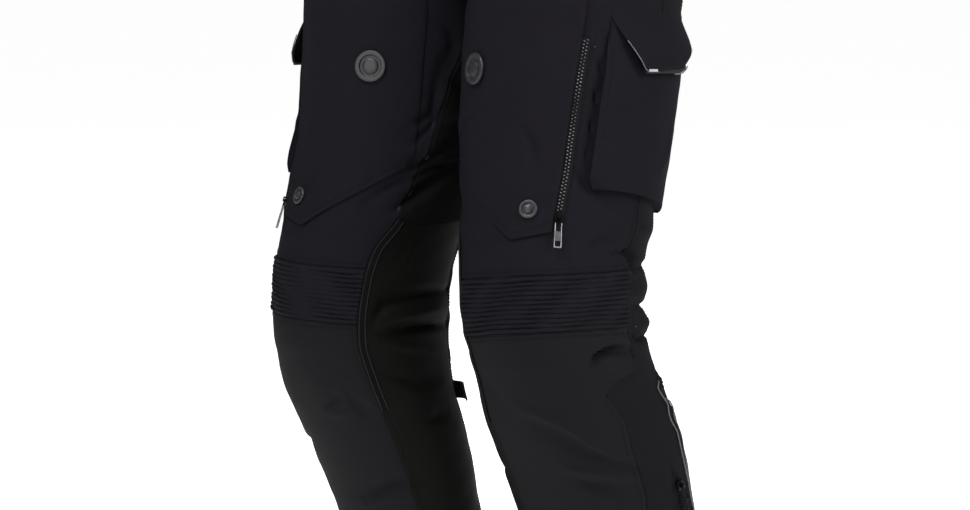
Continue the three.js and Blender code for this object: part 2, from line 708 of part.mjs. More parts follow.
function addLeg(leg, label) {
  const name = (piece) => `${piece}_${label}`;
  const panel = (piece, spec, colour) => addMesh(name(piece), legPanel(leg, spec), colour);
  const edges = ribEdges[label];
  panel('front_thigh', {
    from: frontEdge, to: (z) => seamAngle(sideSeam, z), top: -waistBandHeight, bottom: edges.top,
    columns: kneeColumns,
  }, colours.cloth);
  panel('rib_band', {
    from: (z) => seamAngle(innerFrontSeam, z), to: (z) => seamAngle(sideSeam, z), top: edges.top,
    bottom: edges.bottom, columns: kneeColumns, rows: ribRows(edges), sloped: true,
    relief: (i) => (i % 2 === 1 ? ribHeight : 0),
  }, colours.stretch);
  panel('shin', {
    from: (z) => seamAngle(innerFrontSeam, z), to: (z) => seamAngle(shinSeam, z), top: edges.bottom,
    bottom: hemHeight, columns: kneeColumns, step: 31,
  }, colours.shin);
  panel('inner_thigh', {
    from: (z) => seamAngle(innerBackSeam, z), to: (z) => seamAngle(innerFrontSeam, z),
    top: crotchHeight, bottom: -505,
    columns: 4, gap: 2,
  }, colours.panel);
  panel('inner_knee', {
    from: (z) => seamAngle(innerBackSeam, z), to: (z) => seamAngle(innerFrontSeam, z),
    top: -505, bottom: -870,
    columns: 6, step: 26,
  }, colours.grip);
  panel('inner_calf', {
    from: (z) => seamAngle(innerBackSeam, z), to: (z) => seamAngle(innerFrontSeam, z),
    top: -870, bottom: hemHeight,
    columns: 5,
  }, colours.panel);
  panel('outer_side', {
    from: (z) => seamAngle(sideSeam, z), to: (z) => seamAngle(backSideSeam, z),
    top: -waistBandHeight, bottom: -625,
    columns: 3,
  }, colours.panel);
  panel('lower_gusset', {
    from: (z) => (z > -625.5 ? seamAngle(sideSeam, z) : seamAngle(shinSeam, z)),
    to: (z) => seamAngle(backSideSeam, z), top: -625, bottom: hemHeight, columns: 6,
  }, colours.panel);
  panel('back_thigh', {
    from: (z) => seamAngle(backSideSeam, z), to: backEdge, top: -waistBandHeight, bottom: -660, columns: 9,
    rows: [...rowHeights(-waistBandHeight, -530, 60), ...rowHeights(-530, -660, 15).slice(1)],
  }, colours.cloth);
  panel('back_calf', {
    from: (z) => seamAngle(backSideSeam, z), to: backEdge, top: -660, bottom: hemHeight, columns: 9,
    rows: [...rowHeights(-660, -720, 16), ...rowHeights(-720, hemHeight, 75).slice(1)],
  }, colours.panel);

  addMesh(name('vent_flap'), ventBody(leg), colours.cloth);
  addMesh(name('cargo_pocket'), pocketBody(leg), colours.cloth);
  addMesh(name('cargo_flap'), flapBody(leg), colours.cloth);
  addMesh(name('flap_piping'), flapPiping(leg), colours.reflective, 0.5);

  const zips = [['thigh', thighZip, 8], ['hem', hemZip, 9]];
  for (const [place, zip, steps] of zips) {
    const start = { angle: zip.topAngle, z: zip.topZ };
    const end = { angle: zip.bottomAngle, z: zip.bottomZ };
    const tape = clothRibbon(leg, routeBetween(start, end, steps), zip.tapeWidth, zip.tapeWall);
    addMesh(name(`${place}_zip_tape`), tape, colours.tape);
  }
  addSlider(leg, label, 'thigh', thighZip, thighZip.bottomZ + 4);
  addSlider(leg, label, 'hem', hemZip, hemZip.topZ - 7);

  const pipingRoute = ringHeights.filter((z) => z < innerPiping.top && z > innerPiping.bottom);
  const curve = [innerPiping.top, ...pipingRoute, innerPiping.bottom];
  const pipingPlace = (z) => ({ angle: seamAngle(innerFrontSeam, z) - inset, z, lift: innerPiping.lift });
  const inset = THREE.MathUtils.radToDeg((innerPiping.width / 2 + seamGap) / kneeRadius);
  addMesh(name('inner_piping'), clothRibbon(leg, curve.map(pipingPlace),
    innerPiping.width, pipingWall), colours.shin);
  const sideRings = ringHeights.filter((z) => z < sidePiping.top - 5 && z > sidePiping.bottom + 5);
  const side = [sidePiping.top, ...sideRings, sidePiping.bottom];
  addMesh(name('side_piping'), clothRibbon(leg, side.map((z) => ({ angle: seamAngle(backSideSeam, z), z })),
    sidePiping.width, pipingWall), colours.reflective, 0.5);
  const strap = [
    { angle: -152, lift: 1.2 }, { angle: -146, lift: 1.4 }, { angle: -140, lift: 3 }, { angle: -134, lift: 7 },
    { angle: -128, lift: 9 }, { angle: -122, lift: 8.5 },
  ];
  addMesh(name('calf_tab'), clothRibbon(leg, strap.map((p) => ({ ...p, z: calfStrap.z })), calfStrap.width,
    calfStrap.wall), colours.web);

  const seat = ventFlap.lift + ventFlap.wall + 0.4;
  const discFrame = standFrame(leg, disc.angle, disc.z, seat, disc.angle, disc.z + 5);
  addMesh(name('disc'), roundPiece(discProfile, 20), colours.rubber, 0.5, 0, discFrame);
  const buttonFrame = standFrame(leg, button.angle, button.z, seat, button.angle, button.z + 5);
  addMesh(name('button'), roundPiece(buttonProfile, 16), colours.rubber, 0.5, 0, buttonFrame);
}

// A zip's slider, with its pull tab hanging on the arch: along the cloth, or plumb where the cloth leans in.
function addSlider(leg, label, place, zip, z) {
  const f = (z - zip.topZ) / (zip.bottomZ - zip.topZ);
  const angle = zip.topAngle + (zip.bottomAngle - zip.topAngle) * f;
  const slope = (zip.topAngle - zip.bottomAngle) / (zip.topZ - zip.bottomZ);
  const frame = standFrame(leg, angle, z, overlayLift + zip.tapeWall + seamGap, angle + slope * 5, z + 5);
  addMesh(`${place}_slider_${label}`, sliderGeometry(), colours.metal, 0.4, 0.8, frame);
  const outwards = new THREE.Vector3().setFromMatrixColumn(frame, 2);
  const upwards = new THREE.Vector3().setFromMatrixColumn(frame, 1);
  const hang = Math.max(Math.atan2(-outwards.z, upwards.z), 0);
  const tilt = new THREE.Matrix4().makeTranslation(0, 0, axisHeight)
    .multiply(new THREE.Matrix4().makeRotationX(-hang))
    .multiply(new THREE.Matrix4().makeTranslation(0, 0, -axisHeight));
  addMesh(`${place}_pull_${label}`, pullGeometry(), colours.metal, 0.4, 0.8, frame.clone().multiply(tilt));
}

// The waistband is one strip whose two ends lap in front, the wearer's left end on top.
function waistband() {
  const columns = 40;
  const lap = 9;
  const heights = [0, -waistBandHeight + seamGap];
  const sheet = (extra) => heights.map((z) => Array.from({ length: columns + 1 }, (_, j) => {
    const angle = lap - (360 + 2 * lap) * j / columns;
    const over = THREE.MathUtils.smoothstep(-angle, 360 - 4 * lap, 360 - 1.6 * lap);
    const lift = (bandWall + seamGap) * over;
    return clothPoint(angle, z, lift + extra, 1);
  }));
  return closedSheet(sheet(1), sheet(1 - bandWall));
}

function flyBody() {
  const heights = [-waistBandHeight - 2, -80, -110, fly.bend, -165, -180, fly.bottom];
  const angleAt = (x, z) => {
    const o = oval(z);
    return THREE.MathUtils.radToDeg(Math.asin((x - o.side) / o.width));
  };
  const sheet = (lift) => heights.map((z) => Array.from({ length: 5 }, (_, j) => {
    const f = THREE.MathUtils.clamp((fly.bend - z) / (fly.bend - fly.bottom), 0, 1);
    const width = (fly.width - fly.start) * (0.12 + 0.88 * Math.sqrt(1 - f * f));
    return clothPoint(angleAt(fly.start + width * j / 4, z), z, lift, 1);
  }));
  return closedSheet(sheet(overlayLift + fly.wall + 0.3), sheet(overlayLift + 0.3));
}

addLeg(1, 'left');
addLeg(-1, 'right');
addMesh('waistband', waistband(), colours.cloth);
addMesh('fly', flyBody(), colours.cloth);
const snapFrame = standFrame(1, 0, -waistBandHeight / 2, bandWall + seamGap + 1.4, 0, -waistBandHeight / 2 + 5);
addMesh('waist_snap', roundPiece(snapProfile, 20), colours.metal, 0.4, 0.8, snapFrame);

export default group;
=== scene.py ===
# Motorcycle trousers in worn form: cloth panels with their creases, zips, pockets and trim.
import math
import bpy
import numpy as np
from mathutils import Matrix, Vector


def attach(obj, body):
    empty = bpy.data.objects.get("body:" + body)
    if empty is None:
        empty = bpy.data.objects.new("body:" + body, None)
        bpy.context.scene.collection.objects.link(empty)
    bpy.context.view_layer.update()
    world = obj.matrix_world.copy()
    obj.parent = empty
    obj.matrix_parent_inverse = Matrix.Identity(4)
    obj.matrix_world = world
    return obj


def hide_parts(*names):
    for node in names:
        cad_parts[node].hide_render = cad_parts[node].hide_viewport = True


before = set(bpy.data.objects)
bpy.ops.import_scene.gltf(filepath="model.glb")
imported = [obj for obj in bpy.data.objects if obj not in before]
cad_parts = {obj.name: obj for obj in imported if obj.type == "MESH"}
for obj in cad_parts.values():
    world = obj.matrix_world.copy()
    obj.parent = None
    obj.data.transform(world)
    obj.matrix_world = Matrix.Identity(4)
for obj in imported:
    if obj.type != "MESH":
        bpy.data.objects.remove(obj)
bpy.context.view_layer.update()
bpy.ops.object.select_all(action="DESELECT")
mm = 0.001

# Camera, light and floor
photoView = {"azimuth": 35, "elevation": 6, "distance": 2.83, "target": (-0.0077, -0.0054, -0.543),
             "lens": 100}
studio = {
    "world": 0.20, "floor": -1.074, "floorSize": 400, "floorGlow": 0.80,
    "lamps": (  # azimuth, elevation, distance, size, watts
        (4, 54, 2.1, 0.9, 40),
        (9, 16, 3.2, 1.5, 30),
        (-60, 35, 3.6, 2.0, 12),
        (97, 30, 3.3, 1.5, 115),
        (40, 74, 3.2, 1.8, 26),
        (200, 35, 3.6, 2.4, 55),
    ),
}


def direction(azimuth, elevation):
    a, e = math.radians(azimuth), math.radians(elevation)
    return Vector((math.sin(a) * math.cos(e), -math.cos(a) * math.cos(e), math.sin(e)))


def addCamera():
    back = direction(photoView["azimuth"], photoView["elevation"])
    bpy.ops.object.camera_add(location=Vector(photoView["target"]) + back * photoView["distance"])
    camera = bpy.context.object
    camera.name = "photo_camera"
    camera.data.lens = photoView["lens"]
    camera.data.sensor_width = 36
    camera.rotation_euler = back.to_track_quat("Z", "Y").to_euler()
    bpy.context.scene.camera = camera


def addLamps():
    middle = Vector((0, 0, -0.55))
    for number, (azimuth, elevation, distance, size, watts) in enumerate(studio["lamps"]):
        back = direction(azimuth, elevation)
        bpy.ops.object.light_add(type="AREA", location=middle + back * distance)
        lamp = bpy.context.object
        lamp.name = f"soft_lamp_{number}"
        lamp.data.size = size
        lamp.data.energy = watts
        lamp.rotation_euler = back.to_track_quat("Z", "Y").to_euler()


# Shader maths
class Wire:
    # A socket in a finish, so that sums on it add their own nodes.
    def __init__(self, finish, socket):
        self.finish, self.socket = finish, socket

    def maths(self, operation, *others):
        sockets = dict(enumerate((self, *others)))
        return self.finish.add("ShaderNodeMath", {"operation": operation}, sockets)

    def __add__(self, other):
        return self.maths("ADD", other)

    def __radd__(self, other):
        return self.maths("ADD", other)

    def __mul__(self, other):
        return self.maths("MULTIPLY", other)

    def __rmul__(self, other):
        return self.maths("MULTIPLY", other)

    def __sub__(self, other):
        return self.maths("SUBTRACT", other)

    def __rsub__(self, other):
        return self.finish.add("ShaderNodeMath", {"operation": "SUBTRACT"}, {0: other, 1: self})

    def __truediv__(self, other):
        return self.maths("DIVIDE", other)


class Finish:
    def __init__(self, name):
        self.material = bpy.data.materials.new(name)
        self.material.use_nodes = True
        self.tree = self.material.node_tree
        self.shader = self.tree.nodes["Principled BSDF"]

    def add(self, kind, settings=None, sockets=None, output=0):
        node = self.tree.nodes.new(kind)
        for key, value in (settings or {}).items():
            setattr(node, key, value)
        for key, value in (sockets or {}).items():
            self.feed(node.inputs[key], value)
        return Wire(self, node.outputs[output])

    def feed(self, socket, value):
        if isinstance(value, Wire):
            self.tree.links.new(value.socket, socket)
        else:
            socket.default_value = value

    def shine(self, **values):
        for key, value in values.items():
            self.feed(self.shader.inputs[key.replace("_", " ")], value)

    def places(self, source="UV"):
        across = self.add("ShaderNodeTexCoord", output={"UV": 2, "Object": 3}[source])
        parts = self.add("ShaderNodeSeparateXYZ", {}, {0: across})
        node = parts.socket.node
        return across, [Wire(self, node.outputs[number]) for number in range(3)]

    def noise(self, vector, scale, detail=3.0, roughness=0.55):
        sockets = {"Vector": vector, "Scale": scale, "Detail": detail, "Roughness": roughness}
        return self.add("ShaderNodeTexNoise", {}, sockets)

    def blend(self, factor, first, second):
        node = self.tree.nodes.new("ShaderNodeMix")
        node.data_type = "RGBA"
        self.feed(node.inputs[0], factor)
        self.feed(node.inputs[6], first)
        self.feed(node.inputs[7], second)
        return Wire(self, node.outputs[2])

    def bump(self, height, distance, strength=1.0):
        sockets = {"Strength": strength, "Distance": distance, "Height": height}
        return self.add("ShaderNodeBump", {}, sockets)


# Woven and knitted finishes: dark and light colour, thread pitch and how far the threads stand in metres,
# roughness, specular level, and how much of the tone is grain and wide patches.
wovenFinishes = {
    "cloth": ((0.0037, 0.0034, 0.0048), (0.0082, 0.0075, 0.01), 0.00115, 0.00016, 0.86, 0.02, 0.3, 0.22),
    "sideCloth": ((0.0037, 0.0036, 0.0042), (0.0078, 0.0076, 0.0088), 0.00095, 0.00014, 0.84, 0.02,
                  0.25, 0.22),
    "stretch": ((0.0039, 0.0035, 0.005), (0.0083, 0.0077, 0.0101), 0.0008, 0.00010, 0.8, 0.03, 0.22, 0.15),
    "shinCloth": ((0.0039, 0.0039, 0.0045), (0.0081, 0.008, 0.009), 0.0014, 0.00020, 0.78, 0.03, 0.34,
                  0.22),
    # the inner panels, the inner piping band and the cargo flap's underside: the same black cloth painted
    # darker, as shade between the legs and under the flap
    "shadedInnerCloth": ((0.002, 0.002, 0.002), (0.0048, 0.0048, 0.0048), 0.00095, 0.00014, 0.84, 0.015,
                   0.25, 0.2),
    "lining": ((0.018, 0.018, 0.02), (0.034, 0.034, 0.037), 0.0024, 0.00030, 0.9, 0.05, 0.2, 0.2),
    "tape": ((0.004, 0.004, 0.0044), (0.0085, 0.0085, 0.0092), 0.0007, 0.00012, 0.8, 0.03, 0.2, 0.1),
    "blackTape": ((0.0012, 0.0012, 0.0013), (0.003, 0.003, 0.0032), 0.0007, 0.00012, 0.85, 0.01, 0.2, 0.1),
    "webbing": ((0.003, 0.003, 0.003), (0.0085, 0.0085, 0.0088), 0.0016, 0.00035, 0.7, 0.06, 0.3, 0.1),
    "binding": ((0.0375, 0.0385, 0.04), (0.0825, 0.085, 0.089), 0.0008, 0.00008, 0.42, 0.3, 0.4, 0.35),
    # the flap's binding again, darker as painted shade where it faces down
    "greyBinding": ((0.0046, 0.0046, 0.005), (0.0126, 0.0128, 0.0137), 0.0008, 0.00010, 0.6, 0.06, 0.4,
                    0.35),
    # a painted highlight: the bright glint at the flap's front corner
    "glint": ((0.16, 0.165, 0.17), (0.34, 0.35, 0.36), 0.0008, 0.00006, 0.35, 0.4, 0.3, 0.3),
    "dullCord": ((0.0024, 0.0024, 0.0024), (0.0127, 0.0127, 0.0132), 0.0009, 0.00012, 0.6, 0.06, 0.4, 0.6),
    "thread": ((0.0029, 0.0029, 0.0032), (0.0061, 0.0061, 0.0068), 0.0006, 0.00004, 0.6, 0.06, 0.3, 0.2),
}


def wovenFinish(name, dark, light, pitch, stand, rough, specular, grainShare, patchShare):
    finish = Finish(name)
    vector, (u, v, _) = finish.places("UV")
    turn = 2 * math.pi / pitch
    sway = finish.noise(vector, 160.0, 2.0) * 2.2
    warp = (u * turn + sway).maths("SINE")
    weft = (v * turn + sway).maths("SINE")
    threads = warp * weft * 0.5 + 0.5
    grain = finish.noise(vector, 900.0, 3.0, 0.7)
    patches = finish.noise(vector, 9.0, 4.0, 0.6)
    mottle = finish.noise(vector, 65.0, 3.0, 0.6)
    tone = threads * 0.28 + grain * grainShare + (patches - 0.5) * patchShare + (mottle - 0.5) * 0.35 + 0.22
    colour = finish.blend(tone.maths("MINIMUM", 1.0).maths("MAXIMUM", 0.0), (*dark, 1), (*light, 1))
    finish.shine(Base_Color=colour, Roughness=(mottle - 0.5) * 0.12 + rough, Specular_IOR_Level=specular)
    finish.shine(Normal=finish.bump(threads + grain * 0.9 + mottle * 1.4, stand, 0.75))
    return finish.material


def gripFinish():
    # Smooth, slightly waxy warm black of the inner knee, painted darker still as shade on the inside of the
    # leg.
    finish = Finish("grip")
    vector, _ = finish.places("Object")
    pores = finish.add("ShaderNodeTexVoronoi", {}, {"Vector": vector, "Scale": 620.0})
    grain = finish.noise(vector, 300.0, 4.0, 0.6)
    worn = finish.noise(vector, 14.0, 4.0, 0.6)
    colour = finish.blend(worn * 0.7 + grain * 0.3, (0.0016, 0.0016, 0.0015, 1), (0.0046, 0.0046, 0.0042, 1))
    finish.shine(Base_Color=colour, Roughness=worn * 0.22 + 0.50, Specular_IOR_Level=0.022)
    finish.shine(Normal=finish.bump(pores * 0.8 + grain * 0.6, 0.00012, 0.8))
    return finish.material


def mouldedFinish():
    # Satin grey moulding of discs and snap buttons.
    finish = Finish("badgeMoulding")
    vector, _ = finish.places("Object")
    stipple = finish.noise(vector, 1500.0, 2.0, 0.6)
    worn = finish.noise(vector, 90.0, 4.0, 0.6)
    colour = finish.blend(worn, (0.006, 0.0063, 0.007, 1), (0.014, 0.0145, 0.016, 1))
    finish.shine(Base_Color=colour, Roughness=worn * 0.16 + 0.26, Specular_IOR_Level=0.30)
    finish.shine(Normal=finish.bump(stipple, 0.00006, 0.7))
    return finish.material


def metalFinish(name, dark, light, rough, wear=160.0):
    finish = Finish(name)
    vector, _ = finish.places("Object")
    brushed = finish.noise(vector, 700.0, 5.0, 0.7)
    worn = (finish.noise(vector, wear, 3.0, 0.6) - 0.32) * 2.4
    worn = worn.maths("MAXIMUM", 0.0).maths("MINIMUM", 1.0)
    finish.shine(Base_Color=finish.blend(worn, (*dark, 1), (*light, 1)), Metallic=0.85)
    finish.shine(Roughness=brushed * 0.22 + rough, Specular_IOR_Level=0.15)
    finish.shine(Normal=finish.bump(brushed, 0.00003, 0.5))
    return finish.material


def floorFinish():
    finish = Finish("paleFloor")
    vector, _ = finish.places("Object")
    cloudy = finish.noise(vector, 1.5, 3.0)
    finish.shine(Base_Color=finish.blend(cloudy, (0.90, 0.90, 0.90, 1), (0.94, 0.94, 0.94, 1)))
    finish.shine(Roughness=0.95, Specular_IOR_Level=0.1)
    finish.shine(Emission_Color=(1, 1, 1, 1), Emission_Strength=studio["floorGlow"])
    return finish.material


def addFloor():
    size = studio["floorSize"]
    bpy.ops.mesh.primitive_plane_add(size=size, location=(0, 0, studio["floor"]))
    floor = bpy.context.object
    floor.name = "pale_floor"
    bpy.ops.object.transform_apply(location=True, rotation=True, scale=True)
    floor.data.materials.append(finishes["floor"])


finishes = {name: wovenFinish(name, *look) for name, look in wovenFinishes.items()}
finishes["grip"] = gripFinish()
finishes["badge"] = mouldedFinish()
finishes["metal"] = metalFinish("satinMetal", (0.17, 0.17, 0.175), (0.32, 0.32, 0.33), 0.28)
finishes["teeth"] = metalFinish("zipTeeth", (0.02, 0.02, 0.022), (0.20, 0.20, 0.21), 0.36, 26.0)
finishes["blackMetal"] = metalFinish("blackenedMetal", (0.0012, 0.0012, 0.0014), (0.005, 0.005, 0.0055), 0.45)
finishes["pad"] = metalFinish("dullMetal", (0.055, 0.055, 0.057), (0.10, 0.10, 0.103), 0.46)
finishes["floor"] = floorFinish()
addCamera()
addLamps()
addFloor()
world = bpy.data.worlds.new("soft_studio")
world.use_nodes = True
world.node_tree.nodes["Background"].inputs[0].default_value = (1, 1, 1, 1)
world.node_tree.nodes["Background"].inputs[1].default_value = studio["world"]
bpy.context.scene.world = world
bpy.context.scene.view_settings.view_transform = "Standard"
print("studio and finishes ready")

# Form of the body and legs, in millimetres, as the solids have it
crotch, hem = -270, -1070
pelvisRows = np.array([  # height, half width, half depth, centre to the back
    (0, 175, 120, 0), (-60, 181, 123, 0), (-130, 193, 128, 1), (-200, 202, 127, 0), (-270, 207, 122,
    -3)], float)
# height, centre to the side, centre to the back, half width, half depth, turn in degrees
legRows = np.array([
    (-270, 104, -3, 103.2, 122, 0), (-300, 103.5, -6, 102.5, 120, 0), (-350, 103, -15, 101.5, 117, 0),
    (-410, 103, -24, 100, 113, 1), (-440, 105, -31, 98.5, 110, 2), (-470, 107.5, -40, 95.5, 108, 3),
    (-500, 112, -51, 93, 106, 4), (-530, 116, -62, 90, 103, 5), (-570, 120, -70, 90, 97, 6),
    (-600, 122, -71, 90, 96, 8), (-630, 126, -65, 89.5, 95, 9), (-650, 129, -58, 92, 91, 10),
    (-690, 132.5, -42, 98.5, 84, 12), (-730, 132.5, -21, 99.5, 79, 12), (-770, 132, -1, 97.5, 74, 12),
    (-810, 131, 16, 94.5, 68, 12), (-870, 129, 37, 90, 66, 12), (-950, 127, 56, 86, 65, 12),
    (-1070, 125, 70, 83, 65, 12)], float)
seams = {  # height: degrees round the leg from straight ahead, positive towards the outside
    "innerFront": ((-270, -89.4), (-285, -84), (-310, -77), (-350, -68), (-410, -59), (-470, -53.5),
                   (-505, -50.5),
                   (-530, -43), (-556, -40), (-600, -37.5), (-690, -38), (-810, -37), (-1070, -36)),
    "innerBack": ((-270, -90.6), (-285, -96), (-310, -102), (-350, -109), (-410, -115), (-470, -118),
                  (-1070, -118)),
    "side": ((-40, 92), (-200, 91), (-650, 90)),
    "shin": ((-625, 90), (-638, 84), (-648, 65), (-660, 55), (-690, 60), (-720, 57), (-770, 58), (-810, 54),
             (-1070, 52)),
    "backSide": ((-40, 128), (-200, 126), (-640, 122), (-660, 104), (-720, 102.5), (-770, 103), (-810, 106),
                 (-1070, 112)),
}


def bell(x, width, power=2):
    return np.exp(-((x / width) ** power))


def eased(values, times):
    # smooths a row of values in place, holding its ends
    for _ in range(times):
        values[1:-1] = (values[:-2] + 2 * values[1:-1] + values[2:]) / 4


def runLength(points, axis=0):
    # the length run so far along rows of points
    steps = np.linalg.norm(np.diff(points, axis=axis), axis=-1)
    return np.concatenate([np.zeros_like(steps.take([0], axis)), np.cumsum(steps, axis)], axis)


def rowValue(rows, column, z):
    # smooth value of a table's column, through its rows
    last = len(rows) - 1
    i = np.clip(np.searchsorted(-rows[:, 0], -z, side="right") - 1, 0, last - 1)
    before, a, b, after = rows[np.maximum(i - 1, 0)], rows[i], rows[i + 1], rows[np.minimum(i + 2, last)]
    span = b[..., 0] - a[..., 0]
    straight = (b[..., column] - a[..., column]) / span
    rising = (b[..., column] - before[..., column]) / (b[..., 0] - before[..., 0])
    falling = (after[..., column] - a[..., column]) / (after[..., 0] - a[..., 0])
    slopeA, slopeB = np.where(i == 0, straight, rising), np.where(i + 2 > last, straight, falling)
    f = np.clip((z - a[..., 0]) / span, 0, 1)
    return ((2 * f**3 - 3 * f**2 + 1) * a[..., column] + (f**3 - 2 * f**2 + f) * span * slopeA
            + (3 * f**2 - 2 * f**3) * b[..., column] + (f**3 - f**2) * span * slopeB)


def oval(z):
    rise = np.clip((z - crotch) / 170, 0, 1)
    share = np.sqrt(1 - (1 - rise) ** 2)
    ratio = np.sqrt(np.maximum(1 - share**2, 0))
    outer = rowValue(pelvisRows, 1, z)
    above = z > crotch
    side = np.where(above, outer * ratio / (1 + ratio), rowValue(legRows, 1, z))
    back = np.where(above, rowValue(pelvisRows, 3, z), rowValue(legRows, 2, z))
    width = np.where(above, outer / (1 + ratio), rowValue(legRows, 3, z))
    depth = np.where(above, rowValue(pelvisRows, 2, z), rowValue(legRows, 4, z))
    turn = np.where(above, 0, np.radians(rowValue(legRows, 5, z)))
    return side, back, width, depth, turn


def barePoint(angle, z):
    angle, z = np.broadcast_arrays(np.asarray(angle, float), np.asarray(z, float))
    side, back, width, depth, turn = oval(z)
    local = np.radians(angle) - turn
    across, ahead = width * np.sin(local), depth * np.cos(local)
    return np.stack([side + across * np.cos(turn) + ahead * np.sin(turn),
                     back - ahead * np.cos(turn) + across * np.sin(turn), z], -1)


def outward(angle, z):
    angle, z = np.broadcast_arrays(np.asarray(angle, float), np.asarray(z, float))
    around = barePoint(angle + 0.5, z) - barePoint(angle - 0.5, z)
    high = np.minimum(z + 0.5, 0)
    down = barePoint(angle, high - 1) - barePoint(angle, high)
    normal = np.cross(down, around)
    return normal / np.linalg.norm(normal, axis=-1, keepdims=True)


def seamAt(name, z):
    heights, angles = zip(*seams[name])
    return np.interp(-np.asarray(z, float), [-height for height in heights], angles)


def middleAngle(z):
    side, _, width, _, _ = oval(z)
    return np.degrees(np.arcsin(np.clip(-side / width, -1, 1)))


def frontEdge(z):
    return np.where(z > crotch, middleAngle(z), seamAt("innerFront", z))


def backEdge(z):
    return np.where(z > crotch, 180 - middleAngle(z), 360 + seamAt("innerBack", z))


def edgeAt(name, z):
    if name == "frontMiddle":
        return frontEdge(z)
    if name == "backMiddle":
        return backEdge(z)
    if name == "gusset":
        return np.where(z > -625.5, seamAt("side", z), seamAt("shin", z))
    return seamAt(name, z)
